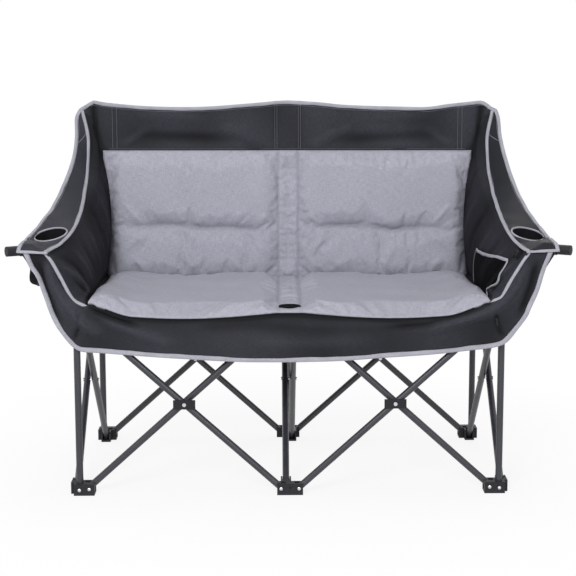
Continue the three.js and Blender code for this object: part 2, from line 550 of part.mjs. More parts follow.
for (const [side, s] of [
  ["left", -1],
  ["right", 1],
]) {
  const inboard = -s; // a corner fitting's +X turned inboard
  const heading = s > 0 ? 0 : Math.PI; // tubes that climb outward
  const back = s > 0 ? Math.PI : 0;

  // Front bay
  const hubX = s * (MIDDLE_PIVOT_X + BAY / 2);
  const long = bodyAt(`front_${side}_long_tube_body`, s * MIDDLE_PIVOT_X, FRONT_A_Y, PIVOT_Z);
  slantedTube(long, `tube_front_${side}_long`, longTube, [s * MIDDLE_PIVOT_X, FRONT_A_Y, PIVOT_Z], heading);
  const hubAt = [hubX - s * MIDDLE_PIVOT_X, PLANE, HUB_Z - PIVOT_Z];
  piece(long, `rivet_front_${side}`, rivet(-GRIP - HUB_PLATE_T - HEAD_GAP, GRIP, "y"), bright, hubAt);
  piece(long, `hub_plate_front_${side}`, hubPlate(), plastic, hubAt);

  const short = bodyAt(`front_${side}_short_tube_body`, hubX, -POST_Y, HUB_Z);
  slantedTube(short, `tube_front_${side}_short`, shortTube, [s * CORNER_X, -POST_Y + PLANE, PIVOT_Z], back);

  const foot = bodyAt(`front_${side}_foot_body`, s * CORNER_X, -POST_Y + PLANE, PIVOT_Z);
  const footPlace = [s * INSET_X, -PLANE, -PIVOT_Z];
  piece(foot, `foot_front_${side}`, mirrored(frontFoot, inboard, 1), plastic, footPlace);
  piece(foot, `post_front_${side}`, cornerPost, steel, footPlace);

  const top = bodyAt(`front_${side}_top_body`, s * CORNER_X, FRONT_A_Y, TOP_Z);
  piece(top, `top_front_${side}`, mirrored(frontTop, inboard, 1), plastic, [s * INSET_X, PLANE, 0]);

  const armFront = bodyAt(`arm_front_${side}_body`, s * ARM_PIVOT_X, FRONT_A_Y, ARM_PIVOT_Z);
  piece(armFront, `arm_socket_${side}`, mirrored(armSocket(), s, 1), plastic);
  const rodPlace = [s * ROD_LEAN, 0, ROD_RISE];
  piece(armFront, `arm_rod_${side}`, mirrored(armRod(), s, 1), steel, rodPlace);
  piece(armFront, `arm_rod_cap_${side}`, mirrored(armRodCap(), s, 1), plastic, rodPlace);

  // Side pair
  const sideAX = s * (POST_X - SIDE_A);
  const sideA = bodyAt(`side_${side}_tube_from_front_body`, sideAX, -PIVOT_Y, PIVOT_Z);
  slantedTube(sideA, `tube_side_${side}_from_front`, shortTube, [sideAX, -PIVOT_Y, PIVOT_Z], TO_REAR);
  const sideHub = [-s * PLANE, PIVOT_Y, HUB_Z - PIVOT_Z];
  piece(sideA, `rivet_side_${side}`, rivet(-GRIP, GRIP, "x"), bright, sideHub);
  const sideB = bodyAt(`side_${side}_tube_from_rear_body`, s * POST_X, 0, HUB_Z);
  const sideBLower = [s * (POST_X - SIDE_B), PIVOT_Y, PIVOT_Z];
  slantedTube(sideB, `tube_side_${side}_from_rear`, shortTube, sideBLower, TO_FRONT);

  // Rear bay
  const rearAY = POST_Y + PLANE;
  const rearA = bodyAt(`rear_${side}_tube_from_middle_body`, s * MIDDLE_PIVOT_X, rearAY, PIVOT_Z);
  const rearALower = [s * MIDDLE_PIVOT_X, rearAY, PIVOT_Z];
  slantedTube(rearA, `tube_rear_${side}_from_middle`, shortTube, rearALower, heading);
  const rearHub = [hubX - s * MIDDLE_PIVOT_X, -PLANE, HUB_Z - PIVOT_Z];
  piece(rearA, `rivet_rear_${side}`, rivet(-GRIP, GRIP, "y"), bright, rearHub);
  const rearB = bodyAt(`rear_${side}_tube_from_corner_body`, hubX, POST_Y, HUB_Z);
  const rearBLower = [s * CORNER_X, POST_Y - PLANE, PIVOT_Z];
  slantedTube(rearB, `tube_rear_${side}_from_corner`, shortTube, rearBLower, back);

  const pole = bodyAt(`rear_${side}_foot_body`, s * CORNER_X, POST_Y - PLANE, PIVOT_Z);
  const polePlace = [s * INSET_X, PLANE, -PIVOT_Z];
  piece(pole, `foot_rear_${side}`, mirrored(rearFoot, inboard, -1), plastic, polePlace);
  piece(pole, `pole_rear_${side}`, rearPole, steel, polePlace);

  const rearTopBody = bodyAt(`rear_${side}_top_body`, s * CORNER_X, rearAY, TOP_Z);
  piece(rearTopBody, `top_rear_${side}`, mirrored(rearTop, inboard, -1), plastic, [s * INSET_X, -PLANE, 0]);
}

// Cloth pieces
const FRONT_EDGE_Y = PANEL_Y + PANEL_T / 2 + CLOTH_GAP;
const REAR_SAG_SHARE = 0.35; // sag at the seat's rear edge
const MIDDLE_HOLD = MIDDLE_PIVOT_X + ARM_OF_MIDDLE + SLOT_SPACE;

const ease = (t) => {
  const held = Math.min(1, Math.max(0, t));
  return held * held * (3 - 2 * held);
};

// A closed cloth solid between two faces, each given over u and v from 0 to 1
function between(columns, rows, near, far) {
  const points = [];
  for (const face of [near, far]) {
    for (let j = 0; j <= rows; j += 1) {
      for (let i = 0; i <= columns; i += 1) {
        points.push(...face(i / columns, j / rows));
      }
    }
  }
  const across = columns + 1;
  const layer = across * (rows + 1);
  const order = [];
  const quad = (a, b, c, d) => order.push(a, b, c, a, c, d);
  for (let j = 0; j < rows; j += 1) {
    for (let i = 0; i < columns; i += 1) {
      const k = j * across + i;
      quad(k, k + 1, k + across + 1, k + across);
      quad(layer + k, layer + k + across, layer + k + across + 1, layer + k + 1);
    }
  }
  for (let i = 0; i < columns; i += 1) {
    const far0 = rows * across + i;
    quad(i, i + layer, i + layer + 1, i + 1);
    quad(far0, far0 + 1, far0 + layer + 1, far0 + layer);
  }
  for (let j = 0; j < rows; j += 1) {
    const k = j * across;
    const r = k + columns;
    quad(k, k + across, k + across + layer, k + layer);
    quad(r, r + layer, r + across + layer, r + across);
  }
  const geometry = new THREE.BufferGeometry();
  geometry.setAttribute("position", new THREE.Float32BufferAttribute(points, 3));
  geometry.setIndex(order);
  geometry.computeVertexNormals();
  return geometry;
}

// A sheet of even thickness about a surface; the near face is on the side that facing points to
function sheet(columns, rows, surface, thickness, facing) {
  const STEP_SHARE = 0.01;
  const normal = (u, v) => {
    const u0 = Math.min(u, 1 - STEP_SHARE);
    const v0 = Math.min(v, 1 - STEP_SHARE);
    const o = new THREE.Vector3(...surface(u0, v0));
    const a = new THREE.Vector3(...surface(u0 + STEP_SHARE, v0)).sub(o);
    const b = new THREE.Vector3(...surface(u0, v0 + STEP_SHARE)).sub(o);
    const n = a.cross(b).normalize();
    return n.dot(facing) < 0 ? n.negate() : n;
  };
  const offset = (side) => (u, v) => {
    const p = new THREE.Vector3(...surface(u, v));
    return p.addScaledVector(normal(u, v), (side * thickness) / 2).toArray();
  };
  return between(columns, rows, offset(1), offset(-1));
}

// Turns a closed shape the right way out, whichever way its grid ran
function outward(geometry) {
  const p = geometry.getAttribute("position");
  const order = geometry.index.array;
  let volume = 0;
  const corner = [new THREE.Vector3(), new THREE.Vector3(), new THREE.Vector3()];
  for (let i = 0; i < order.length; i += 3) {
    corner.forEach((c, k) => c.fromBufferAttribute(p, order[i + k]));
    volume += corner[0].dot(corner[1].clone().cross(corner[2]));
  }
  if (volume > 0) return geometry;
  for (let i = 0; i < order.length; i += 3) {
    const first = order[i];
    order[i] = order[i + 1];
    order[i + 1] = first;
  }
  geometry.computeVertexNormals();
  return geometry;
}

// Seat sling: carried at its sides and along the middle, sagging between
function slingZ(x, y) {
  const out = (Math.abs(x) - MIDDLE_HOLD) / (SEAT_HALF - ARM_OF_CORNER - MIDDLE_HOLD);
  const lobe = Math.sin(Math.PI * Math.min(1, Math.max(0, out)));
  const depth = (y - FRONT_EDGE_Y) / (SEAT_REAR_Y - FRONT_EDGE_Y);
  const sag = SEAT_SAG * lerp(1, REAR_SAG_SHARE, ease(depth)) * lobe;
  const over = (FRONT_EDGE_Y + SEAT_ROLL_L - y) / SEAT_ROLL_L;
  const corner = ease((Math.abs(x) - SEAT_HALF + 2 * ARM_OF_CORNER) / ARM_OF_CORNER);
  const roll = SEAT_ROLL * Math.max(0, over) ** 2 * (1 - corner);
  const lift = SEAT_SIDE_LIFT * ease((Math.abs(x) - SEAT_HALF + SEAT_SIDE_L) / SEAT_SIDE_L);
  return CARRY_Z + CLOTH_T / 2 - sag - roll + lift;
}

// Grid lines of the seat, so that the cloth lies flat over each fitting and rounds its edges
const seatHeld = SEAT_HALF - ARM_OF_CORNER;
const LOBE_SHARES = [0, 0.1, 0.3, 0.52, 0.74, 0.9, 1];
const lobeLines = LOBE_SHARES.map((share) => lerp(MIDDLE_HOLD, seatHeld, share));
const seatLines = (edge) => {
  const right = [...lobeLines, edge];
  return [...right.toReversed().map((x) => -x), 0, ...right];
};
const rowLines = (front, rear) => [
  front,
  FRONT_EDGE_Y + SEAT_ROLL_L / 2,
  FRONT_EDGE_Y + SEAT_ROLL_L,
  FRONT_EDGE_Y + PAD_EDGE,
  lerp(front, rear, 1 / 3),
  lerp(front, rear, 2 / 3),
  SEAT_REAR_Y - PAD_EDGE,
  SEAT_REAR_Y - PAD_EDGE / 2,
  rear,
];
const pick = (lines, share) => lines[Math.round(share * (lines.length - 1))];
const overSeat = (columns, rows, near, far) => {
  const face = (height) => (u, v) => {
    const x = pick(columns, u);
    const y = pick(rows, v);
    return [x, y, height(x, y)];
  };
  return outward(between(columns.length - 1, rows.length - 1, face(near), face(far)));
};

const slingColumns = seatLines(SEAT_HALF);
const slingRows = rowLines(FRONT_EDGE_Y, SEAT_REAR_Y);
const slingFace = (lift) => (x, y) => slingZ(x, y) + lift;
const sling = overSeat(slingColumns, slingRows, slingFace(CLOTH_T / 2), slingFace(-CLOTH_T / 2));
pieceInPlace(frontMiddleTop, "seat_sling", sling, darkCloth);

// Thickness of a two-lobed pad: full in each lobe, thin at its rim and down the middle
function padThickness(x, along, half, length, full) {
  const rim = Math.min(half - Math.abs(x), along, length - along) / PAD_EDGE;
  const middle = ease((Math.abs(x) - PAD_CHANNEL_HALF) / PAD_EDGE);
  const crown = Math.sqrt(Math.max(0, 1 - (1 - Math.min(1, rim)) ** 2));
  const lobe = lerp(PAD_CHANNEL_T, full, middle);
  return lerp(PAD_RIM_T, lobe, crown);
}

// Grid places closer together near both edges and the middle, so that rims and channel keep their form
const PACK_SHARE = 0.6;
function packed(u) {
  const halfShare = Math.abs(2 * u - 1);
  const eased = lerp(halfShare, ease(halfShare), PACK_SHARE);
  return u < 1 / 2 ? (1 - eased) / 2 : (1 + eased) / 2;
}

const padHalf = SEAT_HALF - PAD_INSET;
const padFront = FRONT_EDGE_Y + CLOTH_GAP;
const padRear = SEAT_REAR_Y - PAD_INSET;
const padFace = (top) => (x, y) => {
  const rest = slingZ(x, y) + CLOTH_T / 2 + CLOTH_GAP;
  const thick = padThickness(x, y - padFront, padHalf, padRear - padFront, PAD_T);
  return rest + (top ? thick : 0);
};
const padColumns = seatLines(padHalf);
const padRows = rowLines(padFront, padRear);
const seatPad = solid(overSeat(padColumns, padRows, padFace(true), padFace(false)));

// Ribbed boss that clamps the seat to the middle fitting
const bossY = -(POST_Y + PIVOT_Y) / 2;
const bossTop = slingZ(0, bossY) + CLOTH_T / 2 + CLOTH_GAP + PAD_CHANNEL_T + BOSS_T - BOSS_SINK;
const bossOutline = new THREE.Shape();
for (let i = 0; i < 2 * BOSS_RIBS; i += 1) {
  const r = i % 2 ? BOSS_R : BOSS_R - BOSS_RIB;
  const angle = (Math.PI * i) / BOSS_RIBS;
  bossOutline[i ? "lineTo" : "moveTo"](r * Math.cos(angle), r * Math.sin(angle));
}
const boss = new THREE.ExtrudeGeometry(bossOutline, { depth: BOSS_T, bevelEnabled: false });
boss.translate(0, bossY, bossTop - BOSS_T);
const bossFoot = bossTop - BOSS_T - CLOTH_GAP;
const bossRoom = bar(BOSS_R + CLOTH_GAP, [0, bossY, bossFoot], [0, bossY, bossTop], BOSS_ROOM_SIDES);
pieceInPlace(frontMiddleTop, "seat_pad", geometryOf(seatPad.subtract(bossRoom)), greyCloth);
pieceInPlace(frontMiddleTop, "seat_boss", boss, plastic);

// Front panel with an ear up to each arm front
const LIP_STEPS = 16;
const PANEL_CURVE_STEPS = 7;
const earOuter = PANEL_EAR_X + PANEL_EAR_HALF;
const earInner = PANEL_EAR_X - PANEL_EAR_HALF;
const panelOutline = new THREE.Shape();
panelOutline.moveTo(-PANEL_CORNER_X, PANEL_CORNER_Z);
panelOutline.quadraticCurveTo(-PANEL_CORNER_X / 2, PANEL_MIDDLE_Z, 0, PANEL_MIDDLE_Z);
panelOutline.quadraticCurveTo(PANEL_CORNER_X / 2, PANEL_MIDDLE_Z, PANEL_CORNER_X, PANEL_CORNER_Z);
const EAR_OUT_SHARES = [0.38, 0.14, 0.5, 0.36]; // control points of an ear's outer edge, across and up
const EAR_IN_SHARES = [0.28, 0.3, 0.55, 0.9];
const earPoint = (side, x0, z0, x1, z1, shares, k) => [
  side * lerp(x0, x1, shares[2 * k]),
  lerp(z0, z1, shares[2 * k + 1]),
];
const cornerZ = slingZ(SEAT_HALF, FRONT_EDGE_Y) + CLOTH_T;
const rightOut = [0, 1].map((k) =>
  earPoint(1, PANEL_CORNER_X, PANEL_CORNER_Z, earOuter, PANEL_EAR_Z, EAR_OUT_SHARES, k),
);
const rightIn = [0, 1].map((k) => earPoint(1, earInner, PANEL_EAR_Z, SEAT_HALF, cornerZ, EAR_IN_SHARES, k));
panelOutline.bezierCurveTo(...rightOut[0], ...rightOut[1], earOuter, PANEL_EAR_Z);
panelOutline.lineTo(earInner, PANEL_EAR_Z);
panelOutline.bezierCurveTo(...rightIn[0], ...rightIn[1], SEAT_HALF, cornerZ);
for (let i = 1; i < LIP_STEPS; i += 1) {
  const x = SEAT_HALF * (1 - (2 * i) / LIP_STEPS);
  panelOutline.lineTo(x, slingZ(x, FRONT_EDGE_Y) + CLOTH_T);
}
panelOutline.lineTo(-SEAT_HALF, cornerZ);
panelOutline.bezierCurveTo(-rightIn[1][0], rightIn[1][1], -rightIn[0][0], rightIn[0][1], -earInner, PANEL_EAR_Z);
panelOutline.lineTo(-earOuter, PANEL_EAR_Z);
panelOutline.bezierCurveTo(
  -rightOut[1][0],
  rightOut[1][1],
  -rightOut[0][0],
  rightOut[0][1],
  -PANEL_CORNER_X,
  PANEL_CORNER_Z,
);
const panel = new THREE.ExtrudeGeometry(panelOutline, {
  depth: PANEL_T,
  bevelEnabled: false,
  curveSegments: PANEL_CURVE_STEPS,
});
panel.rotateX(Math.PI / 2);
panel.translate(0, PANEL_Y + PANEL_T / 2, 0);
pieceInPlace(frontMiddleTop, "front_panel", panel, darkCloth);

// Back: a panel hung on the three poles, and a two-lobed pad in front of it
const BACK_INNER = POST_X - 2 * TUBE_R; // flat against a corner pole from here outward
function backY(x) {
  return BACK_Y - BACK_BULGE * Math.sin(Math.PI * Math.min(1, Math.abs(x) / BACK_INNER));
}

const BACK_COLUMNS = 12;
const BACK_ROWS = 3;
const BACK_LOBE_COLUMNS = BACK_COLUMNS / 2 - 1;

function backX(u) {
  const column = Math.abs(2 * u - 1) * (BACK_COLUMNS / 2);
  const inside = BACK_INNER * Math.min(1, column / BACK_LOBE_COLUMNS);
  const x = inside + (BACK_HALF - BACK_INNER) * Math.max(0, column - BACK_LOBE_COLUMNS);
  return Math.sign(2 * u - 1) * x;
}

const backFace = (dy) => (u, v) => {
  const x = backX(u);
  const top = BACK_TOP_Z - BACK_TOP_SAG * Math.abs(Math.sin((Math.PI * x) / BACK_HALF));
  return [x, backY(x) + dy, lerp(BACK_FOOT_Z, top, v)];
};
const backPanel = outward(between(BACK_COLUMNS, BACK_ROWS, backFace(-CLOTH_T / 2), backFace(CLOTH_T / 2)));
pieceInPlace(rearMiddle, "back_panel", backPanel, darkCloth);

const backPadLength = BACK_PAD_TOP_Z - BACK_FOOT_Z;
const backPadFace = (front) => (u, v) => {
  const x = lerp(-BACK_PAD_HALF, BACK_PAD_HALF, packed(u));
  const z = lerp(BACK_FOOT_Z, BACK_PAD_TOP_Z, v);
  const rear = backY(x) - CLOTH_T / 2 - CLOTH_GAP - BACK_BULGE / BACK_COLUMNS;
  const crease = LUMBAR_DEPTH * Math.exp(-(((z - LUMBAR_Z) / LUMBAR_HALF) ** 2));
  const thick = padThickness(x, z - BACK_FOOT_Z, BACK_PAD_HALF, backPadLength, BACK_PAD_T);
  const dip = Math.min(crease, thick - PAD_RIM_T);
  return [x, rear - (front ? thick - dip : 0), z];
};
const BACK_PAD_COLUMNS = 24;
const BACK_PAD_ROWS = 13;
const backPad = outward(between(BACK_PAD_COLUMNS, BACK_PAD_ROWS, backPadFace(true), backPadFace(false)));
pieceInPlace(rearMiddle, "back_pad", backPad, greyCloth);

// Arms. Each station runs from the arm's front to the top of the back: depth, then the inner edge across and up,
// then the outer edge across and up, as shares of the arm's depth, front edge and rise.
const ARM_STATION_SHARES = [
  [0, 1, 0, 1, 0.09],
  [0.12, 0.96, 0.05, 0.994, 0.095],
  [0.235, 0.935, 0.098, 0.985, 0.13],
  [0.475, 0.917, 0.188, 0.94, 0.245],
  [0.704, 0.92, 0.318, 0.923, 0.385],
  [0.863, 0.925, 0.458, 0.896, 0.59],
  [0.951, 0.927, 0.615, 0.888, 0.78],
  [0.99, 0.927, 0.763, 0.892, 0.94],
  [1, 0.932, 1, 0.88, 1.003],
];
const SLEEVE_TOP = ROD_Z + ROD_R + ROD_SPACE + ARM_SLEEVE_WALL + CLOTH_GAP + ARM_T / 2;
const ARM_REAR_Y = BACK_Y - CLOTH_T / 2 - CLOTH_GAP - ARM_T / 2;
const WALL_REAR_X = BACK_PAD_HALF + ARM_T + CLOTH_GAP;

const stations = ARM_STATION_SHARES.map(([deep, inX, inZ, outX, outZ]) => {
  const y = lerp(ARM_FRONT_Y, ARM_REAR_Y, deep);
  const rise = (share) => lerp(ARM_FRONT_Z, ARM_TOP_Z, share);
  const onRod = 1 - ease(deep / ARM_STATION_SHARES[2][0]);
  const inner = [inX * ARM_INNER_X, rise(inZ)];
  const outer = [outX * ARM_WIDE_X, Math.max(rise(outZ), SLEEVE_TOP)];
  const middle = [(inner[0] + outer[0]) / 2, (inner[1] + outer[1]) / 2];
  const shoulder = [
    lerp(middle[0], ARM_SHOULDER_X, onRod),
    lerp(middle[1], Math.max(middle[1], SLEEVE_TOP), onRod),
  ];
  const foot = [lerp(ARM_LOW_X, WALL_REAR_X, ease(deep)), ARM_LOW_Z];
  return { y, rows: [outer, shoulder, inner, foot] };
});

const ARM_ROW_SHARES = [0, 0.2, 0.4, 1]; // where the rows lie from the outer edge round to the wall's foot

function armSurface(u, v) {
  const at = u * (stations.length - 1);
  const k = Math.min(stations.length - 2, Math.floor(at));
  const here = stations[k];
  const next = stations[k + 1];
  const mix = at - k;
  let row = ARM_ROW_SHARES.length - 2;
  while (row > 0 && v < ARM_ROW_SHARES[row]) row -= 1;
  const down = (v - ARM_ROW_SHARES[row]) / (ARM_ROW_SHARES[row + 1] - ARM_ROW_SHARES[row]);
  const onStation = ({ rows }, c) => lerp(rows[row][c], rows[row + 1][c], down);
  return [
    lerp(onStation(here, 0), onStation(next, 0), mix),
    lerp(here.y, next.y, mix),
    lerp(onStation(here, 1), onStation(next, 1), mix),
  ];
}

// Where the cup holder's ring lies on the arm, and how it is tilted
const cupTilt = Math.atan2(
  stations[3].rows[1][1] - stations[2].rows[1][1],
  stations[3].y - stations[2].y,
);
const cupZ = lerp(
  stations[2].rows[1][1],
  stations[3].rows[1][1],
  (CUP_Y - stations[2].y) / (stations[3].y - stations[2].y),
);

const CUP_PROFILE = [
  [0, -CUP_DEPTH],
  [CUP_R - CUP_ROUND, -CUP_DEPTH],
  [CUP_R - CUP_RIM - CLOTH_GAP, CUP_ROUND - CUP_DEPTH],
  [CUP_R - CUP_RIM - CLOTH_GAP, CUP_RIM_T],
  [CUP_R, CUP_RIM_T],
  [CUP_R, 2 * CUP_RIM_T],
  [CUP_R - CUP_RIM - CUP_WALL, 2 * CUP_RIM_T],
  [CUP_R - CUP_RIM - CUP_WALL, CUP_ROUND + CUP_WALL - CUP_DEPTH],
  [CUP_R - CUP_ROUND - CUP_WALL, CUP_WALL - CUP_DEPTH],
  [0, CUP_WALL - CUP_DEPTH],
];
const cupGeometry = new THREE.LatheGeometry(
  CUP_PROFILE.map(([r, z]) => new THREE.Vector2(r, z)),
  CUP_SIDES,
);
cupGeometry.rotateX(Math.PI / 2 + cupTilt);
cupGeometry.translate(CUP_X, CUP_Y, cupZ);

const ARM_LINE_SHARES = [0, 0.1, 0.2, 0.3, 0.4, 0.6, 0.8, 1];
const NEAR_SHARE = 0.02; // how far to each side a slope is taken

function armGeometry() {
  const facing = new THREE.Vector3(-1, 0, 1);
  const smooth = (side) => (u, v) => {
    const down = pick(ARM_LINE_SHARES, v);
    const at = new THREE.Vector3(...armSurface(u, down));
    const before = new THREE.Vector3(...armSurface(u, Math.max(0, down - NEAR_SHARE)));
    const after = new THREE.Vector3(...armSurface(u, Math.min(1, down + NEAR_SHARE)));
    const rear = new THREE.Vector3(...armSurface(Math.min(1, u + NEAR_SHARE), down));
    const front = new THREE.Vector3(...armSurface(Math.max(0, u - NEAR_SHARE), down));
    const n = after.sub(before).cross(rear.sub(front)).normalize();
    if (n.dot(facing) < 0) n.negate();
    return at.addScaledVector(n, (side * ARM_T) / 2).toArray();
  };
  const rows = ARM_LINE_SHARES.length - 1;
  const shape = solid(outward(between(stations.length - 1, rows, smooth(1), smooth(-1))));
  const tilt = new THREE.Vector3(0, -Math.sin(cupTilt), Math.cos(cupTilt));
  const centre = new THREE.Vector3(CUP_X, CUP_Y, cupZ);
  const along = (d) => centre.clone().addScaledVector(tilt, d).toArray();
  const hole = bar(CUP_R - CUP_RIM, along(-CUP_R), along(CUP_R), CUP_SIDES);
  const seat = bar(CUP_R + CLOTH_GAP, along(CUP_RIM_T - CLOTH_GAP), along(CUP_R), CUP_SIDES);
  return geometryOf(shape.subtract(hole).subtract(seat));
}

const armRight = armGeometry();

const armBodies = { left: "rear_left_foot_body", right: "rear_right_foot_body" };
for (const [side, s] of [
  ["left", -1],
  ["right", 1],
]) {
  const body = loveseat.getObjectByName(armBodies[side]);
  pieceInPlace(body, `arm_cover_${side}`, mirrored(armRight, s, 1), darkCloth);
  pieceInPlace(body, `cup_holder_${side}`, mirrored(cupGeometry, s, 1), meshCloth);
}

// Mesh pocket on the right inner wall, open along its top
const POCKET_FRONT_SHARES = [0.1, 0.25]; // front edge at its top and foot, along the arm
const POCKET_REAR_SHARE = 0.48;
const POCKET_TOP_SHARES = [0.58, 0.76]; // top edge at its front and rear, down the wall
const POCKET_FOOT_SHARE = 0.95;
const POCKET_COLUMNS = 6;
const POCKET_ROWS = 5;
function pocketSurface(u, v) {
  const along = lerp(lerp(...POCKET_FRONT_SHARES, v), POCKET_REAR_SHARE, u);
  const down = lerp(lerp(...POCKET_TOP_SHARES, u), POCKET_FOOT_SHARE, v);
  const [x, y, z] = armSurface(along, down);
  const bulge = POCKET_BULGE * Math.sin(Math.PI * u) * Math.sqrt(1 - v * v);
  return [x - (ARM_T + POCKET_T) / 2 - POCKET_SPACE - bulge, y, z];
}
const intoSeat = new THREE.Vector3(-1, 0, 0);
const pocket = outward(sheet(POCKET_COLUMNS, POCKET_ROWS, pocketSurface, POCKET_T, intoSeat));
pieceInPlace(loveseat.getObjectByName(armBodies.right), "side_pocket_right", pocket, meshCloth);

// Origin at the middle of the part's footprint
const bounds = new THREE.Box3().setFromObject(loveseat);
loveseat.position.set(-(bounds.min.x + bounds.max.x) / 2, -(bounds.min.y + bounds.max.y) / 2, -bounds.min.z);

export default loveseat;
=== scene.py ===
import json
import math

import bmesh
import bpy
import numpy as np
from mathutils import Matrix, Vector

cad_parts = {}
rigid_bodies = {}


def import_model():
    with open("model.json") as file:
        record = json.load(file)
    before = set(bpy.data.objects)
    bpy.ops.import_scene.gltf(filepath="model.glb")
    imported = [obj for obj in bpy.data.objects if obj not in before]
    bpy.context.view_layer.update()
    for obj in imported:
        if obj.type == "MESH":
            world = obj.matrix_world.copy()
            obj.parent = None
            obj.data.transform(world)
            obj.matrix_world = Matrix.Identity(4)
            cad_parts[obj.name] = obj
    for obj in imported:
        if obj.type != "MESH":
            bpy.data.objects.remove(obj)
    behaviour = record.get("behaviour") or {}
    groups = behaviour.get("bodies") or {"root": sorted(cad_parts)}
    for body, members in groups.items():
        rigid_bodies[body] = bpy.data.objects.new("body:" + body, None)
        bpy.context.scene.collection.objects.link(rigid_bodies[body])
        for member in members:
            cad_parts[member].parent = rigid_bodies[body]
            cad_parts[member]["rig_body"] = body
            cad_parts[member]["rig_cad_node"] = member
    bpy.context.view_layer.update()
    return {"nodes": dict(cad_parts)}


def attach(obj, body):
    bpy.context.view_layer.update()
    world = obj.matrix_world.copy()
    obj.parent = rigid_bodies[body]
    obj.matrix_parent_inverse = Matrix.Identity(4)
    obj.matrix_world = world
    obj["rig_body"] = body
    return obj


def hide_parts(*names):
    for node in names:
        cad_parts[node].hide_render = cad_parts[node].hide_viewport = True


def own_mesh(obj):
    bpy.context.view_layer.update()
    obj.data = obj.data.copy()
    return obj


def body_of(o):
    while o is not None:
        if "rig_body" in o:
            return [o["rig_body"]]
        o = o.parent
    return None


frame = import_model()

# Lengths are in millimetres up to the last step, where a piece's points become metres in the part's frame
MM = 0.001
SHIFT_Y = 10.936
MIDDLE_HOLD = 33.5
CARRY_Z = 469.4
CLOTH_T = 4.0
GAP = 0.4
FRONT_EDGE_Y = -302.6
SEAT_HALF = 503.0
SEAT_REAR_Y = 240.0
SLING_REAR_Y = 261.0
BACK_Y = 266.85
POST_X = 536.0
PANEL_Y = -305.5
BAND_Z = 838.0
BACK_FOOT_Z = 474.0
LUMBAR_Z = 620.0
SLEEVE_TOP = 646.7
WALL_FOOT_Z = 486.0
PAD_SEAM_X = 28.0
BOSS_Y, BOSS_R = -261.0, 30.0
SIDES = (("left", -1), ("right", 1))
ENDS = {"front": -1, "rear": 1}


def metres(points):
    out = np.asarray(points, float) * MM
    out[..., 1] += SHIFT_Y * MM
    return out


def ease(t):
    t = np.clip(t, 0.0, 1.0)
    return t * t * (3 - 2 * t)


def mix(a, b, t):
    return a + (b - a) * t


def bell(d, width):
    return np.exp(-((d / width) ** 2))


def run_along(path):
    """Distance along a path at each of its points."""
    return np.concatenate([[0], np.cumsum(np.linalg.norm(np.diff(path, axis=0), axis=1))])


def read_at(at, run, path):
    """A path's values where run, which rises along it, is at."""
    return np.stack([np.interp(at, run, path[:, k]) for k in range(path.shape[1])], axis=1)


def unit(vectors):
    return vectors / np.maximum(np.linalg.norm(vectors, axis=-1, keepdims=True), 1e-9)


def waves(x, y, seed, count, low, high):
    """Smooth unevenness between about -1 and 1, as a sum of slanted waves with lengths from low to high."""
    rng = np.random.default_rng(seed)
    total = np.zeros(np.broadcast(x, y).shape)
    for _ in range(count):
        angle = rng.uniform(0, math.tau)
        k = math.tau / rng.uniform(low, high)
        total += np.sin(k * (x * math.cos(angle) + y * math.sin(angle)) + rng.uniform(0, math.tau))
    return total / math.sqrt(count)


def fold(x, y, a, b, width, height):
    """A soft ridge, or a valley where height is negative, along the line from a to b."""
    ax, ay = a
    dx, dy = b[0] - ax, b[1] - ay
    length = math.hypot(dx, dy)
    along = ((x - ax) * dx + (y - ay) * dy) / length**2
    off = ((x - ax) * dy - (y - ay) * dx) / length
    held = np.clip(along, 0, 1)
    past = (along - held) * length
    swell = np.sin(np.pi * np.clip(along * 0.9 + 0.05, 0, 1))
    return height * swell * np.exp(-((off / width) ** 2) - (past / width) ** 2)


def folds(x, y, lines, side=1):
    """Several folds together, mirrored where side is -1."""
    total = np.zeros(np.shape(x))
    for a, b, width, height in lines:
        total += fold(x, y, (side * a[0], a[1]), (side * b[0], b[1]), width, height)
    return total


# Meshes


def add_object(name, mesh, body, finish=None):
    """Put a mesh in the scene, on its body and in its slot."""
    obj = bpy.data.objects.new(name, mesh)
    bpy.context.scene.collection.objects.link(obj)
    if finish is not None:
        mesh.materials.append(finish)
    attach(obj, body)
    return obj


def new_piece(name, verts, faces, finish, body, uv=None, depth=None):
    mesh = bpy.data.meshes.new(name)
    mesh.from_pydata([tuple(v) for v in verts], [], [tuple(f) for f in faces])
    if uv is not None:
        layer = mesh.uv_layers.new(name="Cloth")
        corners = np.zeros(len(mesh.loops), int)
        mesh.loops.foreach_get("vertex_index", corners)
        layer.data.foreach_set("uv", np.asarray(uv, float)[corners].ravel())
    # depth is painted shade per point, stored as the Depth attribute that the cloth materials darken by
    if depth is not None:
        painted_shade = mesh.attributes.new("Depth", "FLOAT", "POINT")
        painted_shade.data.foreach_set("value", np.asarray(depth, float))
    mesh.polygons.foreach_set("use_smooth", [True] * len(mesh.polygons))
    shape = bmesh.new()
    shape.from_mesh(mesh)
    bmesh.ops.recalc_face_normals(shape, faces=shape.faces)
    shape.to_mesh(mesh)
    shape.free()
    mesh.update()
    return add_object(name, mesh, body, finish)


def grid_faces(rows, columns, first=0, turned=False):
    faces = []
    for j in range(rows - 1):
        for i in range(columns - 1):
            k = first + j * columns + i
            quad = (k, k + 1, k + columns + 1, k + columns)
            faces.append(quad[::-1] if turned else quad)
    return faces


def rim_faces(rows, columns, layer):
    loop = list(range(columns))
    loop += [j * columns + columns - 1 for j in range(1, rows)]
    loop += [(rows - 1) * columns + i for i in range(columns - 2, -1, -1)]
    loop += [j * columns for j in range(rows - 2, 0, -1)]
    return [(a, a + layer, b + layer, b) for a, b in zip(loop, loop[1:] + loop[:1])]


